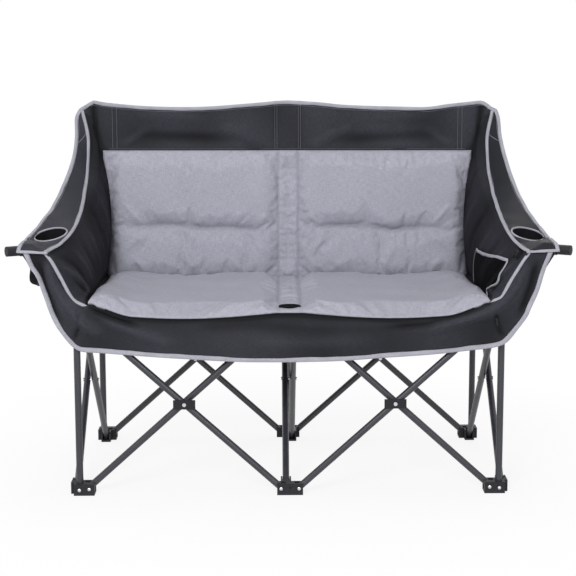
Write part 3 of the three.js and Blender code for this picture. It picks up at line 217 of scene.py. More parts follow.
def tube_faces(count, sides, first=0, closed=False):
    """Faces between the rings of a tube, count rings of as many points as it has sides."""
    faces = []
    for j in range(count if closed else count - 1):
        a, b = first + j * sides, first + (j + 1) % count * sides
        for i in range(sides):
            n = (i + 1) % sides
            faces.append((a + i, a + n, b + n, b + i))
    return faces


def end_faces(count, sides):
    return [tuple(range(sides)), tuple((count - 1) * sides + i for i in reversed(range(sides)))]


def slopes(points):
    """Normals of a grid of points."""
    return unit(np.cross(np.gradient(points, axis=1), np.gradient(points, axis=0)))


def lengths(points, axis):
    step = np.linalg.norm(np.diff(points, axis=axis), axis=2)
    pad = np.zeros((1, step.shape[1])) if axis == 0 else np.zeros((step.shape[0], 1))
    return np.concatenate([pad, np.cumsum(step, axis=axis)], axis=axis)


def shell(name, front, rear, finish, body, depth=None):
    """A closed piece between two grids of points in the same order. Depth is painted shade: how far the cloth's
    colour is darkened, in folds, seams and shaded places.
    """
    rows, columns, _ = front.shape
    layer = rows * columns
    uv = np.stack([lengths(front, 1), lengths(front, 0)], axis=2) * MM
    verts = np.concatenate([front.reshape(-1, 3), rear.reshape(-1, 3)])
    faces = grid_faces(rows, columns) + grid_faces(rows, columns, layer, True)
    faces += rim_faces(rows, columns, layer)
    uvs = np.concatenate([uv.reshape(-1, 2)] * 2)
    if depth is not None:
        depth = np.concatenate([np.clip(depth, 0, 1).ravel()] * 2)
    return new_piece(name, metres(verts), faces, finish, body, uvs, depth)


def cloth(name, points, thickness, finish, body, depth=None):
    half = slopes(points) * thickness / 2
    return shell(name, points + half, points - half, finish, body, depth)


def grid_at(grid, row, column):
    """Points between those of a grid, at rows and columns with a fraction."""
    j = np.clip(row.astype(int), 0, grid.shape[0] - 2)
    i = np.clip(column.astype(int), 0, grid.shape[1] - 2)
    v, u = (row - j)[..., None], (column - i)[..., None]
    return mix(mix(grid[j, i], grid[j, i + 1], u), mix(grid[j + 1, i], grid[j + 1, i + 1], u), v)


def even(path, step):
    """The path again, with its points about a step apart."""
    run = run_along(path)
    count = max(3, int(round(run[-1] / step)) + 1)
    return read_at(np.linspace(0, run[-1], count), run, path)


def curve_through(points, count):
    """A Catmull-Rom curve through the points, evened out to count points."""
    p = np.asarray(points, float)
    p = np.concatenate([[2 * p[0] - p[1]], p, [2 * p[-1] - p[-2]]])
    out = []
    for a, b, c, d in zip(p, p[1:], p[2:], p[3:]):
        square, cube = 2 * a - 5 * b + 4 * c - d, 3 * b - a - 3 * c + d
        for t in np.linspace(0, 1, 24, endpoint=False):
            out.append(0.5 * (2 * b + (c - a) * t + square * t**2 + cube * t**3))
    out = np.array([*out, p[-2]])
    run = run_along(out)
    return read_at(np.linspace(0, run[-1], count), run, out)


def smoothed(values, times):
    out = np.array(values, float)
    for _ in range(times):
        out[1:-1] = (out[:-2] + 2 * out[1:-1] + out[2:]) / 4
    return out


def tape(name, path, across, width, thickness, body, seed, closed=False, over=1.5, fade=(0, 0)):
    """Binding tape folded over a cloth edge: path is the edge, and across points from it into the cloth.
    It narrows over the lengths in fade at its start and end."""
    tangent = unit(np.roll(path, -1, 0) - np.roll(path, 1, 0) if closed else np.gradient(path, axis=0))
    across = unit(across - tangent * np.sum(across * tangent, axis=1, keepdims=True))
    normal = np.cross(tangent, across)
    run = run_along(path)
    phase = np.random.default_rng(seed).uniform(0, math.tau, 4)
    uneven = np.sin(run / 17 + phase[0]) + np.sin(run / 41 + phase[1]) + 0.6 * np.sin(run / 9 + phase[2])
    size = np.ones(len(run))
    for far, length in ((run, fade[0]), (run[-1] - run, fade[1])):
        if length:
            size = np.minimum(size, 0.12 + 0.88 * ease(far / length))
    size = size[:, None]
    half = thickness / 2
    lay = [(width - over, 0.55), (width * 0.55, 1.0), (width * 0.2, 1.06), (0.0, 0.8)]
    edge = [*lay, (-over, 0.0), *((a, -n) for a, n in reversed(lay))]
    rings = []
    for a, n in edge:
        reach = a + (uneven[:, None] * 0.35 if a > width / 2 else 0)
        rings.append(path + across * reach * size + normal * (n * half) * size)
    verts = np.stack(rings, axis=1)
    count, sides, _ = verts.shape
    uv = np.stack(np.broadcast_arrays(run[:, None], run_along(np.array(edge))[None]), axis=2) * MM
    faces = tube_faces(count, sides, closed=closed) + ([] if closed else end_faces(count, sides))
    new_piece(name, metres(verts.reshape(-1, 3)), faces, binding_tape, body, uv.reshape(-1, 2))


def bind(name, edge, toward, step, width, thickness, body, seed, fade=(0, 0)):
    """Tape along an edge, with its points and their ways into the cloth evened out together."""
    path = even(np.concatenate([edge, toward], axis=1), step)
    tape(name, path[:, :3], path[:, 3:], width, thickness, body, seed, fade=fade)


# Materials


def colour(code):
    out = []
    for k in (0, 2, 4):
        c = int(code[k : k + 2], 16) / 255
        out.append(c / 12.92 if c <= 0.04045 else ((c + 0.055) / 1.055) ** 2.4)
    return (*out, 1.0)


def feed(tree, node, inputs):
    """Link or set a node's inputs."""
    for socket, value in inputs.items():
        if isinstance(value, bpy.types.NodeSocket):
            tree.links.new(value, node.inputs[socket])
        else:
            node.inputs[socket].default_value = value


def put(tree, kind, inputs=None, **settings):
    made = tree.nodes.new(kind)
    for key, value in settings.items():
        setattr(made, key, value)
    feed(tree, made, inputs or {})
    return made


def maths(tree, operation, a, b=0.0, c=0.0):
    return put(tree, "ShaderNodeMath", {0: a, 1: b, 2: c}, operation=operation).outputs[0]


def blended(tree, share, a, b):
    return put(tree, "ShaderNodeMix", {0: share, 6: a, 7: b}, data_type="RGBA").outputs[2]


def ranged(tree, value, low=0.0, high=1.0, least=0.0, most=1.0):
    """Value, with low to high spread over least to most."""
    return put(tree, "ShaderNodeMapRange", {0: value, 1: low, 2: high, 3: least, 4: most}).outputs[0]


def noise(tree, vector, scale, detail):
    return put(tree, "ShaderNodeTexNoise", {"Vector": vector, "Scale": scale, "Detail": detail}).outputs[0]


def stretched(tree, vector, scale):
    return put(tree, "ShaderNodeMapping", {"Vector": vector, "Scale": scale}).outputs[0]


def node_group(name, inputs, outputs, kind="ShaderNodeTree"):
    tree = bpy.data.node_groups.new(name, kind)
    for way, sockets in (("INPUT", inputs), ("OUTPUT", outputs)):
        for label, socket in sockets.items():
            tree.interface.new_socket(label, in_out=way, socket_type=f"NodeSocket{socket}")
    return tree, tree.nodes.new("NodeGroupInput").outputs, tree.nodes.new("NodeGroupOutput")


def make_weave():
    """Plain weave: Height of the threads and a Shade that differs from thread to thread."""
    takes, gives = {"Vector": "Vector", "Threads": "Float", "Slub": "Float"}, {"Height": "Float", "Shade": "Float"}
    tree, given, out = node_group("Plain weave", takes, gives)
    size = {0: given["Vector"], "Scale": given["Threads"]}
    scaled = put(tree, "ShaderNodeVectorMath", size, operation="SCALE").outputs[0]
    parts = put(tree, "ShaderNodeSeparateXYZ", {0: scaled}).outputs
    warp = maths(tree, "SINE", maths(tree, "MULTIPLY", parts[0], math.pi))
    weft = maths(tree, "SINE", maths(tree, "MULTIPLY", parts[1], math.pi))
    over = maths(tree, "MULTIPLY_ADD", maths(tree, "MULTIPLY", warp, weft), 0.5, 0.5)
    grain_x = noise(tree, stretched(tree, scaled, (0.9, 0.05, 1)), 1.0, 1.0)
    grain_y = noise(tree, stretched(tree, scaled, (0.05, 0.9, 1)), 1.0, 1.0)
    slubs = maths(tree, "ADD", grain_x, maths(tree, "SUBTRACT", grain_y, 0.5))
    shade = maths(tree, "MULTIPLY_ADD", maths(tree, "SUBTRACT", slubs, 0.5), given["Slub"], 0.5)
    height = maths(tree, "ADD", over, maths(tree, "MULTIPLY", shade, 0.3))
    feed(tree, out, {"Height": height, "Shade": shade})
    return tree


def make_mottle():
    """Slow and fine unevenness of a finish, around a half."""
    takes, gives = {"Vector": "Vector", "Patches": "Float", "Specks": "Float"}, {"Slow": "Float", "Fine": "Float"}
    tree, given, out = node_group("Mottle", takes, gives)
    slow = noise(tree, given["Vector"], given["Patches"], 3.0)
    fine = noise(tree, given["Vector"], given["Specks"], 2.0)
    feed(tree, out, {"Slow": slow, "Fine": fine})
    return tree


def make_scuff():
    """Mask of rubbed places and dust, more of it towards the ground."""
    takes = {"Vector": "Vector", "Ground": "Float", "Amount": "Float"}
    tree, given, out = node_group("Scuffs", takes, {"Mask": "Float"})
    parts = put(tree, "ShaderNodeSeparateXYZ", {0: given["Vector"]}).outputs
    low = maths(tree, "SUBTRACT", 1.0, maths(tree, "DIVIDE", parts[2], given["Ground"]))
    low = put(tree, "ShaderNodeClamp", {0: low}).outputs[0]
    rub = noise(tree, given["Vector"], 90.0, 6.0)
    marks = noise(tree, stretched(tree, given["Vector"], (60, 60, 900)), 1.0, 2.0)
    worn = maths(tree, "GREATER_THAN", maths(tree, "MULTIPLY", marks, rub), 0.37)
    dusty = maths(tree, "MULTIPLY", low, rub)
    mask = maths(tree, "ADD", maths(tree, "MULTIPLY", worn, 0.35), dusty)
    mask = maths(tree, "MULTIPLY", mask, given["Amount"])
    feed(tree, out, {"Mask": put(tree, "ShaderNodeClamp", {0: mask}).outputs[0]})
    return tree


WEAVE, MOTTLE, SCUFFS = make_weave(), make_mottle(), make_scuff()


def material(name):
    made = bpy.data.materials.new(name)
    made.use_nodes = True
    tree = made.node_tree
    return made, tree, tree.nodes["Principled BSDF"], put(tree, "ShaderNodeTexCoord").outputs


def placed(tree, group, inputs):
    return put(tree, "ShaderNodeGroup", inputs, node_tree=group).outputs


def mottled(tree, at, patches, specks):
    return placed(tree, MOTTLE, {"Vector": at["Object"], "Patches": patches, "Specks": specks})


def bumped(tree, shader, height, strength, distance, under=None):
    bump = put(tree, "ShaderNodeBump", {"Strength": strength, "Distance": distance, "Height": height})
    if under is not None:
        feed(tree, bump, {"Normal": under.outputs[0]})
    feed(tree, shader, {"Normal": bump.outputs[0]})


def woven(name, dark, light, deep, threads, slub, roughness, specular, sheen, relief, uneven=0.6):
    """Woven cloth, coloured from dark to light by its threads, and darkened towards deep by painted shade, as far as
    its Depth attribute says: in folds, seams, corners and on shaded sides.
    """
    made, tree, shader, at = material(name)
    weave = placed(tree, WEAVE, {"Vector": at["UV"], "Threads": threads, "Slub": slub})
    mottle = mottled(tree, at, 9.0, 420.0)
    tone = maths(tree, "MULTIPLY_ADD", maths(tree, "SUBTRACT", mottle["Slow"], 0.5), uneven, weave["Shade"])
    tone = maths(tree, "MULTIPLY_ADD", maths(tree, "SUBTRACT", mottle["Fine"], 0.5), 0.5, tone)
    base = blended(tree, ranged(tree, tone, 0.15, 0.85), colour(dark), colour(light))
    # painted shade: a piece's Depth attribute mixes its colour towards the dark shade colour deep
    depth = put(tree, "ShaderNodeAttribute", attribute_name="Depth", attribute_type="GEOMETRY").outputs["Fac"]
    looks = {
        "Base Color": blended(tree, depth, base, colour(deep)),
        "Roughness": ranged(tree, mottle["Slow"], 0.3, 0.7, roughness - 0.05, roughness + 0.05),
        "Specular IOR Level": specular,
        "Sheen Weight": sheen,
        "Sheen Roughness": 0.5,
    }
    feed(tree, shader, looks)
    crumple = put(tree, "ShaderNodeBump", {"Strength": 0.25, "Distance": 0.002, "Height": mottle["Slow"]})
    bumped(tree, shader, weave["Height"], relief, 0.00035, crumple)
    return made


# The third colour of each cloth is its painted shade, which the Depth attribute mixes in
dark_cloth = woven("Dark coated cloth", "24252a", "3d3e46", "0f1013", 1500.0, 0.9, 0.62, 0.14, 0.0, 0.5)
grey_cloth = woven("Grey pad cloth", "9494a0", "b2b2be", "4c4c55", 1250.0, 1.1, 0.85, 0.15, 0.04, 0.6, 0.2)
lining_cloth = woven("Black lining cloth", "0c0d10", "17181c", "060608", 1300.0, 0.8, 0.8, 0.12, 0.0, 0.5)


# Ribs of the tape and cells of the net to a metre
TAPE_RIBS, NET_CELLS = 620, 330


def make_tape():
    made, tree, shader, at = material("Ribbed binding tape")
    along = put(tree, "ShaderNodeSeparateXYZ", {0: at["UV"]}).outputs[0]
    rib = maths(tree, "SINE", maths(tree, "MULTIPLY", along, math.tau * TAPE_RIBS))
    rib = maths(tree, "MULTIPLY_ADD", rib, 0.5, 0.5)
    mottle = mottled(tree, at, 30.0, 700.0)
    tone = maths(tree, "MULTIPLY_ADD", rib, 0.35, maths(tree, "MULTIPLY", mottle["Slow"], 0.65))
    looks = {
        "Base Color": blended(tree, tone, colour("85858f"), colour("b4b4be")),
        "Roughness": ranged(tree, mottle["Fine"], least=0.7, most=0.85),
        "Specular IOR Level": 0.3,
        "Sheen Weight": 0.08,
    }
    feed(tree, shader, looks)
    bumped(tree, shader, rib, 0.6, 0.0004)
    return made


binding_tape = make_tape()


def make_net():
    """Open net: staggered holes in the cloth's own plane."""
    made, tree, shader, at = material("Black net")
    parts = put(tree, "ShaderNodeSeparateXYZ", {0: at["UV"]}).outputs
    turns = [maths(tree, "MULTIPLY", parts[k], math.tau * NET_CELLS) for k in (0, 1)]
    cell = maths(tree, "MULTIPLY", *(maths(tree, "COSINE", turn) for turn in turns))
    mottle = mottled(tree, at, 20.0, 900.0)
    looks = {
        "Alpha": ranged(tree, cell, 0.75, 0.6),
        "Base Color": blended(tree, mottle["Fine"], colour("040506"), colour("0a0b0d")),
        "Roughness": ranged(tree, mottle["Slow"], least=0.6, most=0.8),
        "Specular IOR Level": 0.06,
    }
    feed(tree, shader, looks)
    bumped(tree, shader, cell, 0.5, 0.0004)
    return made


black_net = make_net()


def coated(name, dark, light, dust, roughness, specular, grain, relief, amount):
    """A plain coat or moulding, coloured from dark to light by its grain, with some dust and scuffs."""
    made, tree, shader, at = material(name)
    mottle = mottled(tree, at, 25.0, grain)
    scuff = placed(tree, SCUFFS, {"Vector": at["Object"], "Ground": 0.06, "Amount": amount})["Mask"]
    tone = maths(tree, "MULTIPLY_ADD", mottle["Fine"], 0.7, maths(tree, "MULTIPLY", mottle["Slow"], 0.3))
    base = blended(tree, tone, colour(dark), colour(light))
    rough = maths(tree, "MULTIPLY_ADD", mottle["Slow"], 0.2, roughness - 0.1)
    looks = {
        "Base Color": blended(tree, scuff, base, colour(dust)),
        "Roughness": maths(tree, "MULTIPLY_ADD", scuff, 0.25, rough),
        "Specular IOR Level": specular,
    }
    feed(tree, shader, looks)
    bumped(tree, shader, mottle["Fine"], relief, 0.0003)
    return made


frame_steel = coated("Powder-coated steel", "232429", "3a3b42", "5c5c61", 0.34, 0.5, 1400.0, 0.2, 0.35)
matt_plastic = coated("Matt black plastic", "0c0d0f", "17181b", "2c2c2f", 0.9, 0.03, 900.0, 0.3, 0.1)
black_plastic = coated("Black moulded plastic", "121316", "202126", "4a4a4d", 0.55, 0.25, 900.0, 0.35, 0.3)


def make_bright():
    made, tree, shader, at = material("Bright rivet metal")
    brushed = noise(tree, stretched(tree, at["Object"], (300, 300, 2500)), 1.0, 3.0)
    looks = {
        "Base Color": blended(tree, brushed, colour("a9abb0"), colour("e2e3e6")),
        "Roughness": ranged(tree, brushed, least=0.2, most=0.4),
        "Metallic": 1.0,
    }
    feed(tree, shader, looks)
    bumped(tree, shader, brushed, 0.15, 0.0002)
    return made


bright_metal = make_bright()


def make_thread(name, dark, light):
    made, tree, shader, at = material(name)
    fine = mottled(tree, at, 60.0, 2600.0)["Fine"]
    looks = {
        "Base Color": blended(tree, fine, colour(dark), colour(light)),
        "Roughness": ranged(tree, fine, least=0.55, most=0.75),
    }
    feed(tree, shader, looks)
    bumped(tree, shader, fine, 0.4, 0.0002)
    return made


dark_thread = make_thread("Dark thread", "5a5b64", "7c7d88")
grey_thread = make_thread("Grey thread", "84848e", "a4a4ae")

# Camera, lights and floor

# The focal length and the shift are shares of the picture's width, which is 576
FOCAL_LENGTH, OFF_CENTRE = 1530.03 / 576, -24.695 / 576
SENSOR = 36
CAMERA_AT = (-0.03761, -4.0573, 1.14848)
YAW, PITCH, ROLL = 0.0251, 0.16136, 0.00103
# Half of the floor's width, in metres
FLOOR = 6.0


def make_camera():
    level = math.cos(PITCH)
    ahead = Vector((math.sin(YAW) * level, math.cos(YAW) * level, -math.sin(PITCH)))
    right = Vector((math.cos(YAW), -math.sin(YAW), 0))
    up = right.cross(ahead)
    right, up = right * math.cos(ROLL) + up * math.sin(ROLL), up * math.cos(ROLL) - right * math.sin(ROLL)
    data = bpy.data.cameras.new("Camera")
    data.sensor_width = SENSOR
    data.lens = SENSOR * FOCAL_LENGTH
    data.shift_x = OFF_CENTRE
    camera = bpy.data.objects.new("Camera", data)
    turn = Matrix((right, up, -ahead)).transposed().to_4x4()
    camera.matrix_world = Matrix.Translation(CAMERA_AT) @ turn
    bpy.context.scene.collection.objects.link(camera)
    bpy.context.scene.camera = camera


def lamp(name, place, aim, size, power):
    data = bpy.data.lights.new(name, "AREA")
    data.shape = "DISK"
    data.size = size
    data.energy = power
    obj = bpy.data.objects.new(name, data)
    obj.location = place
    obj.rotation_euler = (Vector(aim) - Vector(place)).to_track_quat("-Z", "Y").to_euler()
    bpy.context.scene.collection.objects.link(obj)


def looked_at(tree):
    """1 where the camera, a gloss or a clear piece looks, and 0 for light that falls on a piece."""
    path = put(tree, "ShaderNodeLightPath").outputs
    seen = maths(tree, "MAXIMUM", path["Is Camera Ray"], path["Is Glossy Ray"])
    return maths(tree, "MAXIMUM", seen, path["Is Transmission Ray"])


def make_sky():
    """White where it is looked at, and a weak even light elsewhere."""
    world = bpy.data.worlds.new("Studio")
    bpy.context.scene.world = world
    world.use_nodes = True
    tree = world.node_tree
    light = 0.36
    strength = maths(tree, "MULTIPLY_ADD", looked_at(tree), 1 - light, light)
    feed(tree, tree.nodes["Background"], {"Color": (1, 1, 1, 1), "Strength": strength})


def make_floor():
    """A pale floor, seen whiter away from the seat, that keeps a share of its shadow."""
    mesh = bpy.data.meshes.new("floor")
    mesh.from_pydata([(FLOOR * x, FLOOR * y, 0) for x, y in ((-1, -1), (1, -1), (1, 1), (-1, 1))], [], [(0, 1, 2, 3)])
    floor = bpy.data.objects.new("floor", mesh)
    bpy.context.scene.collection.objects.link(floor)
    made, tree, shader, at = material("Pale floor")
    slow = mottled(tree, at, 1.5, 60.0)["Slow"]
    base = blended(tree, slow, colour("f4f4f4"), colour("fafafa"))
    feed(tree, shader, {"Base Color": base, "Roughness": 0.9, "Specular IOR Level": 0.1})
    far = put(tree, "ShaderNodeVectorMath", {0: at["Object"]}, operation="LENGTH").outputs["Value"]
    white = ranged(tree, far, 0.55, 1.3, 0.86, 1.0)
    glow = put(tree, "ShaderNodeEmission", {"Color": (1, 1, 1, 1), "Strength": 1.0})
    share = maths(tree, "MULTIPLY", looked_at(tree), white)
    both = put(tree, "ShaderNodeMixShader", {0: share, 1: shader.outputs[0], 2: glow.outputs[0]})
    feed(tree, tree.nodes["Material Output"], {"Surface": both.outputs[0]})
    mesh.materials.append(made)


def make_studio():
    bpy.context.scene.view_settings.view_transform = "Standard"
    make_sky()
    make_floor()
    lamp("Key", (-1.35, -4.3, 3.0), (0, 0, 0.55), 1.6, 150)
    lamp("Fill", (1.0, -4.8, 1.7), (0, 0, 0.5), 2.2, 50)
    lamp("Top", (0, 0.3, 3.6), (0, 0, 0.5), 2.4, 22)
    lamp("Rear", (0.4, 3.2, 2.6), (0, 0, 0.6), 2.2, 35)


make_camera()
make_studio()

# Frame: each CAD solid copied, merged and given rounded edges

SHARP = math.radians(40)


def finished(node_name, finish, bevel, lower=None):
    """A finished copy of a CAD solid. Lower is a height, and the share kept of what stands above it."""
    source = frame["nodes"][node_name]
    mesh = source.data.copy()
    shape = bmesh.new()
    shape.from_mesh(mesh)
    if lower is not None:
        level, share = lower
        for vert in shape.verts:
            vert.co.z = min(vert.co.z, level + (vert.co.z - level) * share)
    bmesh.ops.remove_doubles(shape, verts=shape.verts, dist=2e-6)
    bmesh.ops.dissolve_limit(shape, angle_limit=math.radians(1.5), verts=shape.verts, edges=shape.edges)
    for face in shape.faces:
        face.smooth = True
    for edge in shape.edges:
        edge.smooth = len(edge.link_faces) == 2 and edge.calc_face_angle(0) < SHARP
    shape.to_mesh(mesh)
    shape.free()
    mesh.materials.clear()
    obj = add_object(f"{node_name}_finish", mesh, body_of(source)[0], finish)
    cut = obj.modifiers.new("Rounded edges", "BEVEL")
    cut.width = bevel
    cut.segments = 2
    cut.limit_method = "ANGLE"
    cut.angle_limit = SHARP
    cut.use_clamp_overlap = True
    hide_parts(node_name)


def finish_frame():
    for name in list(frame["nodes"]):
        if name.startswith(("top_", "arm_socket", "arm_rod_cap", "hub_plate")):
            finished(name, black_plastic, 0.0007)
        elif name.startswith(("tube_", "post_", "pole_", "arm_rod_")):
            finished(name, frame_steel, 0.0002)
        elif name.startswith("foot_"):
            finished(name, black_plastic, 0.0026, lower=(0.021, 0.6))
        elif name.startswith("rivet_"):
            finished(name, bright_metal, 0.0006)
        elif name == "seat_boss":
            finished(name, matt_plastic, 0.0007)


finish_frame()


def sling_z(x, y):
    out = (np.abs(x) - MIDDLE_HOLD) / (SEAT_HALF - 13 - MIDDLE_HOLD)
    lobe = np.sin(np.pi * np.clip(out, 0, 1))
    depth = (y - FRONT_EDGE_Y) / (SEAT_REAR_Y - FRONT_EDGE_Y)
    sag = 14 * mix(1, 0.35, ease(depth)) * lobe
    over = np.maximum(0, (FRONT_EDGE_Y + 19 - y) / 19)
    corner = ease((np.abs(x) - SEAT_HALF + 26) / 13)
    lift = 22 * ease((np.abs(x) - SEAT_HALF + 110) / 110) * (1 - 0.85 * ease(depth))
    return CARRY_Z + CLOTH_T / 2 - sag - 5 * over**2 * (1 - corner) + lift


def make_sling():
    x = np.linspace(-SEAT_HALF, SEAT_HALF, 101)
    x, y = np.meshgrid(x, np.linspace(FRONT_EDGE_Y, SLING_REAR_Y, 47))
    points = np.stack([x, y, sling_z(x, y)], axis=2)
    sling = cloth("seat_sling_cloth", points, 3.0, dark_cloth, "front_middle_top")
    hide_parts("seat_sling")


# Rear edges of the walls, where they are sewn to the back, as height and distance from the middle
WALL_REAR = np.array(
    [
        *((470, 518), (486, 517), (518, 512), (600, 508), (670, 507), (723, 510)),
        *((780, 516), (836, 527), (900, 543), (950, 552), (976, 556)),
    ]
)
# Distances from the middle: where the hollow of the back ends, its corner seam, and the end of its cloth
BACK_HALF, BACK_CORNER, BACK_END = 518.5, 541, 574


def wall_rear_x(z):
    return np.interp(z, WALL_REAR[:, 0], WALL_REAR[:, 1])


def back_y(x):
    """Where the back stands: each half is a little hollow."""
    return BACK_Y - 4 * np.sin(np.pi * np.minimum(1, np.abs(x) / BACK_HALF))


# Upper edge of the back, as distance from the middle and height
BACK_TOP = [
    *((-575, 957), (-566, 964), (-549, 974), (-540, 975.5), (-499, 969), (-387, 960), (-246, 958.5)),
    *((-106, 968), (-20, 975.5), (20, 975.5), (91, 971), (170, 963.5), (317, 959), (393, 958)),
    *((450, 966), (487, 970), (540, 975.5), (553, 974), (566, 966), (576, 958)),
]
# Every fold is given as its two ends, its width and its height
BAND_FOLDS = (
    ((120, 866), (440, 878), 15, -6.0),
    ((70, 850), (180, 905), 12, 4.2),
    ((470, 848), (390, 900), 10, 4.0),
    ((230, 925), (420, 940), 14, 3.6),
)
BAND_SEAMS = (479, 490, 29, 37)


def back_top_z(x):
    dense = curve_through(BACK_TOP, 300)
    return np.interp(x, dense[:, 0], dense[:, 1])


def make_back_panel():
    x = np.linspace(-BACK_CORNER, BACK_CORNER, 181)
    ends = np.linspace(BACK_CORNER, BACK_END, 9)[1:]
    x, v = np.meshgrid(np.concatenate([-ends[::-1], x, ends]), np.linspace(0, 1, 90))
    z = mix(BACK_FOOT_Z, back_top_z(x), v)
    in_band = ease((z - BAND_Z + 10) / 30)
    relief = 2.4 * waves(x, z, 11, 7, 160, 420) * in_band
    for side in (-1, 1):
        relief += (np.sign(x) == side) * in_band * folds(x, z, BAND_FOLDS, side)
        relief -= 5.0 * bell(x - side * BACK_CORNER, 5) * in_band
        for seam in BAND_SEAMS:
            relief -= 1.4 * bell(x - side * seam, 2.6) * in_band
    points = np.stack([x, back_y(x) - relief, z], axis=2)
    # painted shade on the back: darker overall, in its valleys, in the corners by the walls' rear edges, along the
    # band's lower seam and by the middle seams
    past = np.abs(x) - wall_rear_x(z)
    depth = 0.16 - relief / 9 + 0.75 * bell(past + 4, 9) + 0.25 * bell(past + 10, 26)
    depth += 0.3 * bell(z - BAND_Z, 7) + 0.16 * bell(np.abs(x) - 33, 9)
    panel = cloth("back_panel_cloth", points, 3.0, dark_cloth, "rear_middle_foot", depth=depth)
    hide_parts("back_panel")
    return points


# Padded pieces


# How far from its edge a pad gets to its full thickness
PAD_ROLL = 46


def pad_thickness(x, along, half, length, full):
    """Thickness of a pad before it is filled: thin at its edges and between its middle seams."""
    rim = np.minimum(np.minimum(half - np.abs(x), along), length - along) / PAD_ROLL
    middle = ease((np.abs(x) - 29) / PAD_ROLL)
    crown = np.sqrt(np.maximum(0, 1 - (1 - np.clip(rim, 0, 1)) ** 2))
    return mix(6.5, mix(8, full, middle), crown)


def seam_pins(x):
    """1 on a pad's edges and along its two middle seams, and 0 elsewhere."""
    pinned = np.zeros(x.shape)
    pinned[[0, -1], :] = 1
    pinned[:, [0, -1]] = 1
    near_seam = np.abs(np.abs(x) - PAD_SEAM_X)
    pinned[near_seam <= np.min(near_seam, axis=1, keepdims=True) + 0.5] = 1
    return pinned


def across_pad(count):
    """Places from -1 to 1, closer together near the ends."""
    share = np.linspace(-1, 1, count)
    return 0.75 * share + 0.25 * np.sin(share * np.pi / 2)


FILLING = {
    "quality": 6,
    "mass": 0.25,
    "tension_stiffness": 12,
    "compression_stiffness": 12,
    "shear_stiffness": 4,
    "bending_stiffness": 0.35,
    "tension_damping": 10,
    "compression_damping": 10,
    "use_pressure": True,
    "uniform_pressure_force": 3.0,
    "shrink_min": -0.035,
    "vertex_group_mass": "seams",
    "pin_stiffness": 1.0,
}
# Steps of the simulation, and how far it may move a point at most
FILL_FRAMES, FILL_CAP = 20, 9.0


def inflated(points, pinned):
    """The top of a pad, filled from below with its seams held down, as a cloth simulation leaves it."""
    rows, columns, _ = points.shape
    mesh = bpy.data.meshes.new("filling")
    mesh.from_pydata([tuple(p) for p in metres(points).reshape(-1, 3)], [], grid_faces(rows, columns))
    obj = bpy.data.objects.new("filling", mesh)
    scene = bpy.context.scene
    scene.collection.objects.link(obj)
    held = obj.vertex_groups.new(name="seams")
    held.add([int(k) for k in np.flatnonzero(pinned)], 1.0, "REPLACE")
    sim = obj.modifiers.new("Cloth", "CLOTH")
    for key, value in FILLING.items():
        setattr(sim.settings, key, value)
    sim.settings.effector_weights.gravity = 0
    sim.collision_settings.use_collision = False
    sim.collision_settings.use_self_collision = False
    sim.point_cache.frame_start = 1
    sim.point_cache.frame_end = FILL_FRAMES
    for step in range(1, FILL_FRAMES + 1):
        scene.frame_set(step)
    done = obj.evaluated_get(bpy.context.evaluated_depsgraph_get())
    out = np.zeros(len(done.data.vertices) * 3)
    done.data.vertices.foreach_get("co", out)
    out = out.reshape(points.shape) * 1000
    out[..., 1] -= SHIFT_Y
    scene.frame_set(1)
    bpy.data.objects.remove(obj)
    moved = out - points
    far = np.linalg.norm(moved, axis=2, keepdims=True)
    return points + moved * np.minimum(1, FILL_CAP / np.maximum(far, 1e-6))


def finer(points, times):
    """More points between those of a grid, on smooth curves through them."""
    for _ in range(times):
        for axis in (0, 1):
            p = np.moveaxis(points, axis, 0)
            before = np.concatenate([2 * p[:1] - p[1:2], p[:-2]])
            after = np.concatenate([p[2:], 2 * p[-1:] - p[-2:-1]])
            middle = (9 * (p[:-1] + p[1:]) - before - after) / 16
            out = np.zeros((2 * len(p) - 1, *p.shape[1:]))
            out[::2], out[1::2] = p, middle
            points = np.moveaxis(out, 0, axis)
    return points


PAD_HALF = 502.5
PAD_FRONT, PAD_REAR = FRONT_EDGE_Y + GAP, 244.0
SEAT_FOLDS = (
    ((470, 190), (330, 120), 12, 2.0),
    ((475, 150), (380, 40), 14, 1.6),
    ((60, 215), (150, 130), 11, 1.8),
    ((480, -200), (330, -285), 14, 1.6),
    ((250, 222), (300, 150), 12, -1.8),
)


